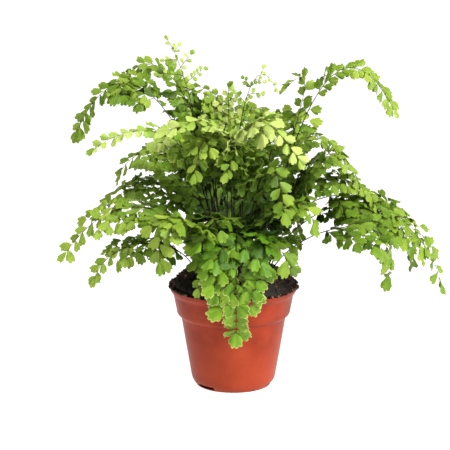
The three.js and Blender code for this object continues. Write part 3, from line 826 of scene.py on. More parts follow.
# %% Leaf finish
LEAF_CLOUDS, LEAF_CLOUD_SHARE = 7 * MM, 0.30
RIM_LIGHTER = 0.10
VEINS = 11
VEIN_FROM, VEIN_TO, VEIN_SHARE = 0.02, 0.11, 0.14
MARGIN_TO = 0.985
MARGIN_FADE = 25 * MM
LEAF_ROUGHNESS = (0.32, 0.54)
LEAF_CLOUD_BUMP = 0.8


def leaf_finish(name, deep, fresh, light, margin, middle=None,
                margin_from=0.93, margin_share=0.18, margin_below=None):
    finish = new_finish(name)
    place = object_place(finish)
    leaf_map = node(finish, "UVMap", {}, uv_map="leaf").outputs[0]
    spot = node(finish, "SeparateXYZ", {0: leaf_map})
    across, out = spot.outputs["X"], spot.outputs["Y"]
    clouds = cloudy(finish, place, LEAF_CLOUDS)
    shade = swayed(finish, stored_tone(finish), clouds, LEAF_CLOUD_SHARE)
    # Partly painted shade: darker towards the base of the leaflet, lighter towards its rim
    shade = swayed(finish, shade, out, RIM_LIGHTER)
    stops = [(0.08, deep), (0.5, fresh), (0.94, light)]
    if middle:
        stops.insert(2, (0.64, middle))
    colour = scale_of_colours(finish, shade, stops)
    vein = leaf_veins(finish, across, out)
    colour = mixed(finish, scaled(finish, vein, VEIN_SHARE), colour, (*light, 1))
    at_margin = scaled(finish, rise(finish, out, margin_from, MARGIN_TO), margin_share)
    if margin_below:
        low = rise(finish, height_of(finish, place), margin_below, margin_below - MARGIN_FADE)
        at_margin = maths(finish, "MULTIPLY", at_margin, low)
    give(finish, "Base Color", mixed(finish, at_margin, colour, (*margin, 1)))
    give(finish, "Roughness", ranged(finish, clouds, *LEAF_ROUGHNESS))
    bumpy(finish, scaled(finish, clouds, LEAF_CLOUD_BUMP, vein), 0.12 * MM, 0.6)
    give(finish, "Specular IOR Level", 0.15)
    give(finish, "Subsurface Weight", 0.35)
    give(finish, "Subsurface Radius", (0.7, 1.0, 0.25))
    give(finish, "Subsurface Scale", 1.0 * MM)
    return finish


def leaf_veins(finish, across, out):
    """1 on a vein and 0 between veins, which stand further apart towards the rim."""
    from_vein = maths(finish, "PINGPONG", scaled(finish, across, VEINS), 0.5)
    from_vein = maths(finish, "MULTIPLY", from_vein, out)
    return maths(finish, "SUBTRACT", 1.0, rise(finish, from_vein, VEIN_FROM, VEIN_TO))


FRESH = leaf_finish(
    "fresh_leaf", deep=(0.012, 0.038, 0.002), fresh=(0.116, 0.208, 0.013),
    light=(0.255, 0.348, 0.043), margin=(0.290, 0.392, 0.060))
# A darker copy of the fresh finish: painted shade for the fronds that hang in the shade
DEEP = leaf_finish(
    "painted_shade_leaf", deep=(0.011, 0.036, 0.002), fresh=(0.094, 0.176, 0.011),
    light=(0.210, 0.304, 0.034), margin=(0.240, 0.332, 0.046))
# A paler finish: painted light on fronds that catch the light, and the own colour of the young
# ones
PALE = leaf_finish(
    "painted_light_and_young_leaf", deep=(0.016, 0.056, 0.003), fresh=(0.130, 0.245, 0.014),
    middle=(0.265, 0.380, 0.052), light=(0.395, 0.480, 0.125), margin=(0.470, 0.545, 0.176),
    margin_from=0.90)
EDGED = leaf_finish(
    "edged_leaf", deep=(0.016, 0.056, 0.004), fresh=(0.096, 0.212, 0.010),
    light=(0.208, 0.344, 0.024), margin=(0.528, 0.496, 0.176), margin_from=0.90,
    margin_share=0.75, margin_below=138 * MM)
print("leaf finishes:", [finish.name for finish in (FRESH, DEEP, PALE, EDGED)])

# %% [markdown]
# Stalks and ribs are almost black, with a purple brown sheen like polished wire, and turn green
# in their young tips. Stalks, moss and hairs all have soft clouds of a few related colours, so
# one helper makes the three finishes.

# %% Stalk finish
STALK_COLOURS = [(0.1, (0.004, 0.003, 0.003)), (0.45, (0.020, 0.010, 0.008)),
                 (0.8, (0.085, 0.070, 0.020)), (1.0, (0.170, 0.170, 0.060))]


def clouded_finish(name, size, detail, stops, roughness, tone_sway=None):
    """A finish whose colour follows clouds alone, or the stored tone swayed by them."""
    finish = new_finish(name)
    clouds = cloudy(finish, object_place(finish), size, detail)
    shade = swayed(finish, stored_tone(finish), clouds, tone_sway) if tone_sway else clouds
    give(finish, "Base Color", scale_of_colours(finish, shade, stops))
    give(finish, "Roughness", ranged(finish, clouds, *roughness))
    return finish


WIRY = clouded_finish("wiry_stalk", 6 * MM, 4.0, STALK_COLOURS, (0.22, 0.52), tone_sway=0.3)
bumpy(WIRY, cloudy(WIRY, object_place(WIRY), 1.2 * MM), 0.05 * MM, 0.5)
give(WIRY, "Specular IOR Level", 0.12)
print("stalk finish:", WIRY.name)

# %% [markdown]
# ## Where the fronds stand
#
# Each stalk leaves the soil at its root, passes through its knee and its crest, and ends at its
# tip. Chance alone could spread the fronds, but then it would be another plant, so these are the
# same four points that the solids have, in millimetres. The second line of a row says how far
# the blade is rolled to the front, in degrees, how large its leaflets are beside the usual ones,
# at what share of the stalk the leafy part starts, and how long its ribs are and how far they
# stand apart beside the usual ones.

# %% Fronds seen from the front
SEEN_FRONDS = [
    ("left_arch_high", (-12, 6), (-39, 10, 214), (-90, 18, 281), (-145, 20, 239),
     55, 0.98, 0.65, 0.5, 0.68),
    ("left_arch_top", (-6, 14), (-27, 24, 219), (-64, 38, 292), (-111, 45, 272),
     50, 0.88, 0.52, 0.4, 0.75),
    ("left_arch_back", (-14, 22), (-27, 34, 217), (-41, 52, 267), (-58, 60, 290),
     30, 0.75, 0.45, 0.55, 1),
    ("left_inner", (-2, 24), (-18, 26, 217), (-15, 36, 263), (-38, 42, 278),
     20, 0.8, 0.5, 0.8, 1),
    ("left_pale", (-16, -6), (-16, -15, 168), (-53, -28, 237), (-126, -35, 233),
     50, 0.9, 0.45, 0.6, 0.9),
    ("left_mid", (-22, 10), (-26, 22, 158), (-63, 34, 210), (-108, 38, 193),
     25, 0.95, 0.42, 0.95, 0.9),
    ("left_low_upper", (-31, 12), (-30, 30, 146), (-72, 44, 182), (-128, 50, 159),
     25, 0.85, 0.42, 0.9, 1),
    ("left_long_low", (-28, -8), (-34, -25, 144), (-85, -40, 179), (-152, -48, 139),
     35, 0.95, 0.4, 0.9, 1),
    ("left_lowest", (-32, -18), (-52, -42, 139), (-94, -58, 147), (-126, -66, 119),
     30, 0.85, 0.36, 0.8, 1),
    ("front_left", (-20, -28), (-26, -58, 152), (-53, -86, 179), (-66, -98, 144),
     15, 1.1, 0.4, 1, 1),
    ("front_drape", (2, -36), (2, -68, 162), (2, -98, 142), (2, -84, 74),
     0, 1.25, 0.34, 1.2, 0.74),
    ("front_low_left", (-10, -32), (-8, -58, 148), (-16, -84, 154), (-32, -96, 118),
     5, 1.2, 0.38, 1, 0.95),
    ("front_upright", (-8, -24), (-4, -46, 156), (-14, -74, 176), (-30, -90, 150),
     0, 1.1, 0.4, 0.9, 0.95),
    ("front_right", (22, -30), (24, -60, 152), (38, -84, 154), (51, -90, 136),
     10, 1.2, 0.38, 1, 0.95),
    ("front_middle", (4, -18), (8, -40, 184), (7, -58, 236), (-6, -74, 219),
     0, 0.8, 0.58, 0.8, 1),
    ("front_hanging", (-12, -18), (-18, -38, 188), (-23, -58, 245), (-35, -78, 219),
     0, 0.85, 0.58, 0.8, 1),
    ("bright_right", (10, -10), (6, -30, 194), (16, -60, 260), (57, -92, 234),
     25, 1.15, 0.52, 0.9, 0.8),
    ("bright_left", (-4, -12), (-6, -34, 196), (-14, -60, 256), (-58, -80, 257),
     20, 0.95, 0.52, 0.8, 0.85),
    ("right_arch_high", (20, 8), (58, 14, 231), (100, 20, 296), (148, 16, 260),
     50, 1.05, 0.66, 0.36, 0.7),
    ("right_arch_back", (12, 16), (38, 24, 178), (65, 50, 262), (52, 60, 274),
     20, 0.95, 0.62, 0.5, 1.05),
    ("right_mid_high", (26, 2), (40, 4, 176), (64, 6, 231), (101, 4, 217),
     18, 0.78, 0.48, 0.7, 1),
    ("right_mid", (28, -6), (44, -10, 164), (80, -14, 220), (116, -16, 193),
     24, 0.8, 0.38, 0.9, 1),
    ("right_mid_low", (36, -1), (48, -2, 172), (93, -4, 200), (130, -8, 176),
     26, 0.85, 0.34, 0.9, 1),
    ("right_long", (32, 6), (82, 2, 178), (152, -6, 161), (192, -14, 102),
     30, 1.1, 0.44, 1.15, 1),
    ("right_low", (30, -16), (64, -34, 146), (122, -52, 162), (141, -60, 121),
     30, 1.05, 0.5, 1, 1),
    ("right_low_back", (30, 16), (62, 24, 146), (125, 26, 168), (168, 16, 115),
     32, 0.95, 0.42, 0.9, 1),
    ("right_fore", (20, -22), (30, -48, 164), (54, -76, 190), (70, -92, 178),
     10, 1, 0.42, 1, 1),
    ("fore_hanging", (12, -26), (16, -54, 174), (30, -80, 224), (44, -104, 190),
     10, 1.1, 0.52, 0.5, 1),
    ("young_left", (-6, 4), (-22, 8, 184), (-40, 10, 269), (-60, 10, 324),
     80, 0.42, 0.82, 0.9, 3),
    ("young_right", (4, 8), (2, 14, 207), (16, 18, 281), (38, 20, 280),
     80, 0.42, 0.74, 0.5, 3),
    ("top_middle", (0, 16), (-2, 24, 172), (-4, 30, 232), (-5, 32, 276),
     0, 0.6, 0.74, 0.9, 1.3),
]
ROOT_HEIGHT = 93
print("fronds seen from the front:", len(SEEN_FRONDS))

# %% [markdown]
# Nothing shows the back of the plant, so its fronds aren't placed one by one. They spread like a
# fan behind the others, by turns a lower and a taller one, by the same rule and the same seeded
# draws as the solids.

# %% Fronds behind
BACK_SEED = 7
BACK_FRONDS = 8
BACK_FROM, BACK_TO = math.radians(46), math.radians(126)
BACK_ROOTS = (28, 38)
BACK_CRESTS = (180, 238)
BACK_KNEE_SHARE, BACK_CREST_SHARE = 0.42, 0.72
BACK_HABIT = (0, 0.85, 0.28, 0.85, 1)
WORD = 0xFFFFFFFF


def seeded_draws(seed):
    """Draws from 0 to 1 by 32-bit steps, as the solids have them."""
    state = seed
    while True:
        state = (state + 0x6D2B79F5) & WORD
        bits = ((state ^ (state >> 15)) * (1 | state)) & WORD
        bits = ((bits + (bits ^ (bits >> 7)) * (61 | bits)) & WORD) ^ bits
        yield (bits ^ (bits >> 14)) / (WORD + 1)


def back_fronds():
    draws = seeded_draws(BACK_SEED)
    rows = []
    for i in range(BACK_FRONDS):
        heading = between(BACK_FROM, BACK_TO, i / (BACK_FRONDS - 1))
        reach = between(92, 132, next(draws))
        crest = BACK_CRESTS[i % 2] + between(-8, 8, next(draws))
        toward = Vector((math.cos(heading), math.sin(heading)))
        knee = (*(toward * reach * BACK_KNEE_SHARE), between(150, 168, next(draws)))
        top = (*(toward * reach * BACK_CREST_SHARE), crest)
        tip = (*(toward * reach), crest - between(30, 56, next(draws)))
        root = tuple(toward * BACK_ROOTS[i % 2])
        rows.append((f"back_{i + 1}", root, knee, top, tip, *BACK_HABIT))
    return rows


ALL_FRONDS = SEEN_FRONDS + back_fronds()
print("fronds:", len(ALL_FRONDS))

# %% [markdown]
# ## The line of a stalk
#
# One cubic curve goes through the four points of a stalk. Bezier handles could shape it too, but
# they would have to be guessed, and these points were measured. The curve's points are counted
# off by length, so that leaflets stand evenly apart wherever it bends. At each place the stalk
# has a frame, whose upper side is rolled further to the front towards the tip.

# %% Stalk line
LINE_STEPS = 120
UPWARD = Vector((0, 0, 1))


def frame_at(point, along, leftward):
    """The matrix with X along, Z up as near as can be, and Y to the left."""
    along = along.normalized()
    up = along.cross(leftward).normalized()
    left = up.cross(along)
    return Matrix.Translation(point) @ Matrix((along, left, up)).transposed().to_4x4()


class StalkLine:
    def __init__(self, root, knee, crest, tip, roll):
        self.corners = [Vector(corner) * MM for corner in ((*root, ROOT_HEIGHT), knee, crest, tip)]
        heading = self.corners[3] - self.corners[0]
        heading.z = 0
        self.leftward = UPWARD.cross(heading.normalized())
        self.turn = math.radians(roll) * (1 if self.leftward.y > 0 else -1)
        self.points = [self.curve(step / LINE_STEPS) for step in range(LINE_STEPS + 1)]
        self.lengths = [0.0]
        for first, second in zip(self.points, self.points[1:]):
            self.lengths.append(self.lengths[-1] + (second - first).length)
        self.length = self.lengths[-1]

    def curve(self, t):
        """The point at t, from 0 to 1, of the cubic that meets the corners at even steps."""
        a, b, c = t - 1 / 3, t - 2 / 3, t - 1
        weights = (-4.5 * a * b * c, 13.5 * t * b * c, -13.5 * t * a * c, 4.5 * t * a * b)
        return sum((corner * weight for corner, weight in zip(self.corners, weights)), Vector())

    def frame(self, share):
        """The frame at a share of the length."""
        wanted = min(max(share, 0), 1) * self.length
        step = sum(length < wanted for length in self.lengths[1:LINE_STEPS])
        inside = (wanted - self.lengths[step]) / (self.lengths[step + 1] - self.lengths[step])
        point = self.points[step].lerp(self.points[step + 1], inside)
        along = self.points[step + 1] - self.points[step]
        flat = frame_at(point, along, self.leftward)
        return flat @ Matrix.Rotation(self.turn * share, 4, "X")


LINES = {row[0]: StalkLine(*row[1:6]) for row in ALL_FRONDS}
print("longest stalk:", max(line.length for line in LINES.values()), "m")

# %% [markdown]
# ## Leaflets find room
#
# Leaflets overlap like shingles but don't grow through one another. Their meshes could be tested
# against each other, but that is slow for thousands. Each remembers its middle instead, in a
# grid of small boxes. A new leaflet that comes too near another turns a little and tries again,
# and one that finds no room is left out, as a real one would have withered.

# %% Room
ROOM_BOX = 6 * MM


class Room:
    def __init__(self):
        self.boxes = {}

    def box(self, point):
        return tuple(math.floor(value / ROOM_BOX) for value in point)

    def near(self, point, distance):
        i, j, k = self.box(point)
        return any(
            (other - point).length < distance
            for di in (-1, 0, 1) for dj in (-1, 0, 1) for dk in (-1, 0, 1)
            for other in self.boxes.get((i + di, j + dj, k + dk), ()))

    def take(self, point):
        self.boxes.setdefault(self.box(point), []).append(point)

    def taken(self):
        return sum(map(len, self.boxes.values()))


room = Room()
print("boxes of", ROOM_BOX, "m")

# %% [markdown]
# ## Painted shade and light
#
# The leaflets inside the plant stand in the shade and are a much deeper green than the ones that
# reach out of it. Shadows alone don't give that difference, so it is painted: a round heart of
# painted shade is laid over the middle of the plant, and the tone of a leaflet rises with its
# distance from there, up to a little painted light on the leaflets far out.

# %% Painted shade and light
SHADE_MIDDLE = Vector((0, -0.02, 0.160))
SHADE_REACH = Vector((0.120, 0.115, 0.095))
SHADE_TONE, SUN_TONE = -0.50, 0.12
SHADE_CURVE = 1.4


def painted_light_and_shade_tone(point):
    """The painted shade in the middle of the plant, and the painted light far out, that the place
    of a leaflet adds to its tone.
    """
    away = point - SHADE_MIDDLE
    distance = Vector([value / reach for value, reach in zip(away, SHADE_REACH)]).length
    return between(SHADE_TONE, SUN_TONE, min(distance, 1) ** SHADE_CURVE)


print("tone added in the middle and far out:", SHADE_TONE, SUN_TONE)

# %% [markdown]
# ## Growing a frond
#
# A leaflet sits a little above its stalk, turned to one side of it. No two on a real frond lie
# quite the same way, so its turn, tilt, nod and size each have a small chance. Leaflets could be
# instances of one object, but a mesh that holds them all can be exported and measured as it is.

# %% Grow one leaflet
LEAFLET_TRIES = 5
WILDER = 0.5
TURN_SPREAD, TILT_SPREAD, NOD_SPREAD = 7, 15, 11
LEAFLET_PITCH = 12
OWN_SIZES = (0.84, 1.12)
LEAFLET_LIFT = 0.35 * MM
BLADE_MIDDLE = 0.6
CLOSEST = 0.31
TONE_SPREAD = 0.13


def off_pot_and_soil(point, size):
    radius = point.xy.length
    if radius > LIP_RADIUS + size:
        return True
    return point.z > heap_height(point.x, point.y) + size and point.z > LIP_TOP


def grow_leaflet(shape, seat, side, lean, size, models, tone, chance, room, pitch=LEAFLET_PITCH):
    """Adds one leaflet at its seat on the stalk, unless there is no room for it."""
    for attempt in range(LEAFLET_TRIES):
        wild = 1 + attempt * WILDER
        turn = turned(side * lean + chance.gauss(0, TURN_SPREAD) * wild, "Z")
        tilt = turned(chance.gauss(0, TILT_SPREAD) * wild, "X")
        nod = turned(chance.gauss(pitch, NOD_SPREAD) * wild, "Y")
        own = size * chance.uniform(*OWN_SIZES)
        matrix = seat @ Matrix.Translation((0, 0, LEAFLET_LIFT)) @ turn @ tilt @ nod
        middle = matrix @ Vector((own * (PETIOLE + BLADE_MIDDLE), 0, 0))
        if off_pot_and_soil(middle, own * BLADE_MIDDLE) and not room.near(middle, own * CLOSEST):
            room.take(middle)
            place = matrix @ Matrix.Scale(own, 4) @ Matrix.Translation((PETIOLE, 0, 0))
            # Painted shade in the middle of the plant and painted light far out, besides a tone
            # that differs at random
            own_tone = tone + painted_light_and_shade_tone(middle) + chance.gauss(0, TONE_SPREAD)
            add_copy(shape, chance.choice(models), place, own_tone)
            return


# %% [markdown]
# Stalks and ribs are tubes that grow thinner and greener towards their tips. Each tube is made
# in a bmesh of its own, since operators are slow in one that is already full of leaflets.

# %% Grow a stalk
def add_stalk(shape, frames, radii, tones, sides, finish_index=1):
    tube = bmesh.new()
    grow_tube(tube, frames, radii, sides)
    bmesh.ops.recalc_face_normals(tube, faces=tube.faces)
    for face in tube.faces:
        face.material_index = finish_index
        face.smooth = True
    mesh = mesh_of("stalk", tube)
    last = len(tones) - 1
    add_mesh(shape, mesh, [tones[min(i // sides, last)] for i in range(len(mesh.vertices))])


# %% [markdown]
# A side rib droops a little under its leaflets, which a drop that grows with the square of the
# distance gives. It carries leaflets by turns on its two sides, now and then a pair, and a wider
# one at its end.

# %% Grow a side rib
RIB_DROOP = 0.16
LEAFLET_LEAN = 52
PAIR_CHANCE = 0.2
PAIR_SIZE = 0.9
RIB_END_TONE = 0.06
RIB_RADII = (0.3 * MM, 0.16 * MM)
RIB_TONES = (0.45, 0.85)
RIB_SIDES = 4


def rib_frames(start, length, steps):
    """The frames along a side rib, which starts along the X axis of its first frame."""
    base = start.to_translation()
    along = start.to_3x3() @ Vector((1, 0, 0))
    leftward = start.to_3x3() @ Vector((0, 1, 0))
    frames = []
    for step in range(steps + 1):
        share = step / steps
        point = base + along * length * share - UPWARD * RIB_DROOP * length * share ** 2
        heading = along - UPWARD * 2 * RIB_DROOP * share
        frames.append(frame_at(point, heading, leftward))
    return frames


def grow_rib(shape, start, length, size, spacing, tone, chance, room):
    count = max(1, round(length / spacing))
    frames = rib_frames(start, length, count)
    grow_leaflet(shape, frames[-1], 0, 0, size, WIDE, tone + RIB_END_TONE, chance, room)
    for i, seat in enumerate(frames[:-1]):
        side = 1 if i % 2 else -1
        grow_leaflet(shape, seat, side, LEAFLET_LEAN, size, NARROW, tone, chance, room)
        if chance.random() < PAIR_CHANCE:
            second = size * PAIR_SIZE
            grow_leaflet(shape, seat, -side, LEAFLET_LEAN, second, NARROW, tone, chance, room)
    radii = [between(*RIB_RADII, i / count) for i in range(count + 1)]
    tones = [between(*RIB_TONES, i / count) for i in range(count + 1)]
    add_stalk(shape, frames, radii, tones, RIB_SIDES)


# %% [markdown]
# The lower part of a stalk is bare. Above it, side ribs stand by turns right and left. They get
# shorter towards the tip, where single leaflets take their place. The frond that hangs over the
# pot is big: its last leaflets stand in pairs and are wide ones. A leaflet's tone rises from the
# base of the frond to its young tip. A rule that copies this habit gives every frond its own
# leaflets from one row of the table, where placing thousands by hand would take days.

# %% Grow one frond
LEAFLET_SIZE = 12.6 * MM
LEAFLET_SPACING = 5.2 * MM
LEAFY_TO = 0.985
RIB_SPACING = 5.2 * MM
RIB_LENGTH = 33 * MM
RIB_FADE = 0.9
FIRST_RIB, RIB_RISE = 0.75, 2
SHORTEST_RIB = 10 * MM
RIB_LEAN, RIB_LEAN_SPREAD = 58, 5
RIB_ROLL_SPREAD = 10
RIB_OWN_LENGTHS = (0.88, 1.1)
RIB_CROWDING = 0.5
SINGLE_LEANS, SINGLE_PITCH = (54, 36), 8
BIG_SHARE = 1.22
BIG_LEAN, BIG_PITCH, BIG_TIP_PITCH = 40, -8, -26
BASE_TONE, TIP_TONE = -0.12, 0.14
STALK_RADII = (0.72 * MM, 0.18 * MM)
STALK_TIP_TONE = 0.8
STALK_RINGS = 30
STALK_SIDES = 6


def rib_length(rib_share, fade):
    """How long a rib is, with fade from 0 at the first rib to 1 at the tip."""
    return RIB_LENGTH * rib_share * (1 - fade) ** RIB_FADE * min(1.0, FIRST_RIB + fade * RIB_RISE)


def grow_singles(shape, here, i, fade, size, tip_share, tone, chance, room):
    """One leaflet on the stalk itself, or on the big frond a pair at every other place."""
    if size > LEAFLET_SIZE * BIG_SHARE:
        for side in ((1, -1) if i % 2 else ()):
            grow_leaflet(shape, here, side, BIG_LEAN, size, WIDE, tone, chance, room, BIG_PITCH)
    else:
        side = 1 if i % 2 else -1
        own = size * between(1.0, tip_share, fade)
        lean = between(*SINGLE_LEANS, fade)
        grow_leaflet(shape, here, side, lean, own, NARROW, tone, chance, room, SINGLE_PITCH)


def frond_shape(line, leaf_share, leafy_from, rib_share, spacing, tip_share, tone, chance, room):
    shape = toned_shape()
    shape.loops.layers.uv.new("leaf")
    size = LEAFLET_SIZE * leaf_share
    models, pitch = (WIDE, BIG_TIP_PITCH) if leaf_share > BIG_SHARE else (NARROW, 0)
    grow_leaflet(shape, line.frame(1.0), 0, 0, size * tip_share, models, tone + TIP_TONE,
                 chance, room, pitch)
    places = round(line.length * (LEAFY_TO - leafy_from) / (RIB_SPACING * leaf_share * spacing))
    ribs = []
    for i in range(places):
        fade = i / (places - 1)
        here = line.frame(between(leafy_from, LEAFY_TO, fade))
        length = rib_length(rib_share, fade)
        lean = (1 if i % 2 else -1) * (RIB_LEAN + chance.gauss(0, RIB_LEAN_SPREAD))
        here_tone = tone + between(BASE_TONE, TIP_TONE, fade)
        if length < SHORTEST_RIB * leaf_share:
            grow_singles(shape, here, i, fade, size, tip_share, here_tone, chance, room)
        else:
            start = here @ turned(lean, "Z") @ turned(chance.gauss(0, RIB_ROLL_SPREAD), "X")
            ribs.append((start, length * chance.uniform(*RIB_OWN_LENGTHS), here_tone))
    apart = LEAFLET_SPACING * leaf_share * spacing ** RIB_CROWDING
    for start, length, rib_tone in ribs:
        grow_rib(shape, start, length, size, apart, rib_tone, chance, room)
    shares = [ring / STALK_RINGS for ring in range(STALK_RINGS + 1)]
    radii = [between(*STALK_RADII, share) for share in shares]
    leafy = [max(0.0, (share - leafy_from) / (1 - leafy_from)) for share in shares]
    tones = [share * STALK_TIP_TONE for share in leafy]
    add_stalk(shape, [line.frame(share) for share in shares], radii, tones, STALK_SIDES)
    return shape


# %% [markdown]
# Most fronds are fresh green. Three that catch the light, and the three young ones on top, are
# pale: on the three the pale finish is painted light, on the young ones it is their own colour.
# Five that hang in the shade at the sides are deep green, which is painted shade. The one that
# hangs over the pot has cream margins. A few also have a tone of their own, partly where a real
# plant's fronds differ in age and partly painted light and shade that sets how light or dark each
# looks, and a few end in smaller leaflets than the usual ones.

# %% Which frond has which look
# Pale: painted light on the first three, and the own colour of the three young ones
LIT_AND_YOUNG_FRONDS = {
    "left_pale", "bright_right", "bright_left", "young_left", "young_right", "top_middle",
}
# Deep green: painted shade on fronds that hang in the shade
SHADED_FRONDS = {"left_mid", "left_low_upper", "right_mid_high", "right_mid", "right_mid_low"}
USUAL_TONE = 0.5
TONE_SWING = 0.08
# Tones of single fronds: partly their age, and partly painted light and shade
FROND_TONES = {
    "left_long_low": 0.66, "left_lowest": 0.66, "front_left": 0.60, "front_drape": 0.60,
    "right_arch_high": 0.47, "right_mid_high": 0.59, "right_mid": 0.61, "right_mid_low": 0.61,
    "left_mid": 0.70, "left_low_upper": 0.70, "right_low": 0.40, "right_long": 0.40,
    "left_arch_high": 0.40, "left_arch_top": 0.42, "bright_right": 0.57, "bright_left": 0.56,
    "young_left": 0.66, "young_right": 0.64, "top_middle": 0.60,
}
USUAL_TIP_SHARE = 1.05
TIP_SHARES = {
    "front_drape": 1.02, "front_low_left": 0.66, "right_arch_high": 0.95, "right_long": 0.85,
    "left_pale": 0.80, "bright_right": 0.74,
}


def look_of(name):
    """The leaf finish of a frond and its slot."""
    if name in LIT_AND_YOUNG_FRONDS:
        return PALE, "frond_pale"
    if name in SHADED_FRONDS:
        return DEEP, "frond_deep"
    if name == "front_drape":
        return EDGED, "frond_fresh"
    return FRESH, "frond_fresh"


print("pale fronds:", len(LIT_AND_YOUNG_FRONDS), "and deep green ones:", len(SHADED_FRONDS))

# %% Make the fronds
frond_chance = random.Random(5)
for name, _, _, _, _, _, *habit in ALL_FRONDS:
    tone = FROND_TONES.get(name, USUAL_TONE) + frond_chance.uniform(-TONE_SWING, TONE_SWING)
    tip_share = TIP_SHARES.get(name, USUAL_TIP_SHARE)
    shape = frond_shape(LINES[name], *habit, tip_share, tone, frond_chance, room)
    finish, slot = look_of(name)
    new_piece(f"fine_{name}", shape, [finish, WIRY], slot, f"frond_{name}")
print("leaflets:", room.taken())

# %% [markdown]
# ## Fibres, moss and hairs
#
# Peat holds threads of root and bark. They could be drawn as scratches in the soil's finish, but
# real threads stand up from it and catch the light. Each is a short bent tube that lies on the
# heap, grown through frames that follow the soil.

# %% Fibres on the heap
FIBRES = 130
FIBRE_STEPS = 4
FIBRE_STEP = (0.8 * MM, 2.4 * MM)
FIBRE_RADIUS = 0.17 * MM
FIBRE_THICKNESS = (0.6, 1.1)
FIBRE_TONES = (0.7, 1.2)
FIBRE_SIDES = 4
FIBRE_LIFT = (1, 6)
FIBRE_BEND = 0.5
FIBRE_REACH = HEAP_RADIUS * 0.93
BACK_TO_MIDDLE = 0.3


def fibre_frames(chance):
    radius = FIBRE_REACH * math.sqrt(chance.random())
    angle, heading = chance.uniform(0, FULL_TURN), chance.uniform(0, FULL_TURN)
    x, y = radius * math.cos(angle), radius * math.sin(angle)
    step = chance.uniform(*FIBRE_STEP)
    points = []
    for _ in range(FIBRE_STEPS + 1):
        lift = chance.uniform(*FIBRE_LIFT) * FIBRE_RADIUS
        points.append(Vector((x, y, heap_height(x, y) + lift)))
        heading += chance.gauss(0, FIBRE_BEND)
        toward_middle = BACK_TO_MIDDLE if math.hypot(x, y) > FIBRE_REACH else 0.0
        x += step * math.cos(heading) - toward_middle * x
        y += step * math.sin(heading) - toward_middle * y
    frames = []
    for i, point in enumerate(points):
        along = points[min(i + 1, FIBRE_STEPS)] - points[max(i - 1, 0)]
        frames.append(frame_at(point, along, UPWARD.cross(along)))
    return frames


def fibres_shape(chance):
    shape = toned_shape()
    rings = FIBRE_STEPS + 1
    for _ in range(FIBRES):
        radii = [FIBRE_RADIUS * chance.uniform(*FIBRE_THICKNESS) for _ in range(rings)]
        tones = [chance.uniform(*FIBRE_TONES)] * rings
        add_stalk(shape, fibre_frames(chance), radii, tones, FIBRE_SIDES, finish_index=0)
    return shape


new_piece("soil_fibres", fibres_shape(random.Random(31)), [DAMP_PEAT], "soil")

# %% [markdown]
# A little moss has settled on the damp soil in four places. Green paint on the soil would look
# flat from the side. A sprig is a few thin cones that lean apart, and a cushion of moss is a
# crowd of sprigs, tallest in its middle.

# %% Moss sprigs
SPRIG_LEANS = (0, 38, 46, 42)
SPRIG_THICKNESS = 0.17
MOSS_COLOURS = [(0.1, (0.008, 0.016, 0.003)), (0.5, (0.030, 0.055, 0.008)),
                (0.9, (0.090, 0.130, 0.022))]


def cone_model(name, leans, thickness, sides):
    """Thin cones of unit length that stand on one point and lean apart."""
    shape = bmesh.new()
    for i, lean in enumerate(leans):
        place = Matrix.Rotation(FULL_TURN * i / len(leans), 4, "Z") @ turned(lean, "Y")
        bmesh.ops.create_cone(
            shape, cap_ends=True, segments=sides, radius1=thickness, radius2=0, depth=1,
            matrix=place @ Matrix.Translation((0, 0, 0.5)))
    bmesh.ops.remove_doubles(shape, verts=shape.verts, dist=MODEL_NEAR)
    bmesh.ops.recalc_face_normals(shape, faces=shape.faces)
    return mesh_of(name, shape)


DAMP_MOSS = clouded_finish("damp_moss", 1.5 * MM, 4.0, MOSS_COLOURS, (0.6, 0.9), tone_sway=0.4)
give(DAMP_MOSS, "Specular IOR Level", 0.2)
sprig = cone_model("sprig", SPRIG_LEANS, SPRIG_THICKNESS, 4)
print("faces of a sprig:", len(sprig.polygons))

# %% Moss cushions
# Middle and radius of each patch in millimetres, and its number of sprigs
MOSS_PATCHES = [(-37, -8, 7.5, 130), (-27, -19, 4.0, 45), (40, 14, 5.5, 70), (12, 40, 8.0, 130)]
SPRIG_HEIGHT = 2.0 * MM
SPRIG_MIDDLE, SPRIG_RIM = 1.1, 0.6
SPRIG_OWN_HEIGHTS = (0.8, 1.2)
SPRIG_SINK = 0.1
SPRIG_LEAN_SPREAD = 0.25
SPRIG_TONES = (0.2, 0.9)


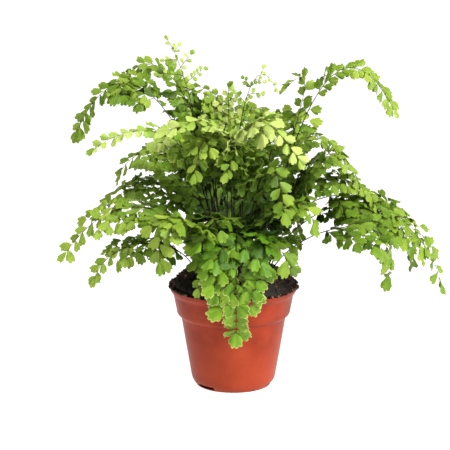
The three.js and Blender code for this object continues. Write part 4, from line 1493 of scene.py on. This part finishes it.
def moss_shape(chance):
    shape = toned_shape()
    patches = [patch[:3] for patch in MOSS_PATCHES for _ in range(patch[3])]
    for middle_x, middle_y, radius in patches:
        away = math.sqrt(chance.random())
        angle = chance.uniform(0, FULL_TURN)
        x = (middle_x + radius * away * math.cos(angle)) * MM
        y = (middle_y + radius * away * math.sin(angle)) * MM
        height = SPRIG_HEIGHT * between(SPRIG_MIDDLE, SPRIG_RIM, away)
        height *= chance.uniform(*SPRIG_OWN_HEIGHTS)
        place = Matrix.Translation((x, y, heap_height(x, y) - SPRIG_SINK * height))
        turn = Matrix.Rotation(chance.uniform(0, FULL_TURN), 4, "Z")
        lean = Matrix.Rotation(chance.gauss(0, SPRIG_LEAN_SPREAD), 4, "X")
        matrix = place @ turn @ lean @ Matrix.Scale(height, 4)
        add_copy(shape, sprig, matrix, chance.uniform(*SPRIG_TONES))
    return shape


new_piece("soil_moss", moss_shape(random.Random(41)), [DAMP_MOSS], "frond_deep")

# %% [markdown]
# Brown hairs cover the foot of every stalk, where it leaves the soil. Blender's own hair would
# be lost in the exported model, so each hair is one thin cone that stands on the stalk and
# points a little upwards.

# %% Hairs at the feet of the stalks
HAIRS_PER_STALK = 34
HAIRY_FROM, HAIRY_TO = 12 * MM, 30 * MM
HAIRY_CURVE = 1.6
HAIR_LENGTH = (0.9 * MM, 2.0 * MM)
HAIR_THICKNESS = 0.055
HAIR_LEAN, HAIR_LEAN_SPREAD = 40, 12
HAIR_FOOT = STALK_RADII[0] * 0.6
HAIR_COLOURS = [(0.3, (0.030, 0.012, 0.006)), (0.7, (0.110, 0.048, 0.020))]


def hairs_shape(chance):
    hair = cone_model("hair", (0,), HAIR_THICKNESS, 3)
    shape = toned_shape()
    for line in [line for line in LINES.values() for _ in range(HAIRS_PER_STALK)]:
        along = between(HAIRY_FROM, HAIRY_TO, chance.random() ** HAIRY_CURVE)
        around = Matrix.Rotation(chance.uniform(0, FULL_TURN), 4, "X")
        lean = turned(HAIR_LEAN + chance.gauss(0, HAIR_LEAN_SPREAD), "Y")
        matrix = line.frame(along / line.length) @ around
        matrix = matrix @ Matrix.Translation((0, 0, HAIR_FOOT)) @ lean
        matrix = matrix @ Matrix.Scale(chance.uniform(*HAIR_LENGTH), 4)
        add_copy(shape, hair, matrix, chance.random())
    return shape


BROWN_HAIR = clouded_finish("brown_hair", 4 * MM, 3.0, HAIR_COLOURS, (0.4, 0.7))
new_piece("stalk_hairs", hairs_shape(random.Random(53)), [BROWN_HAIR], "frond_deep")
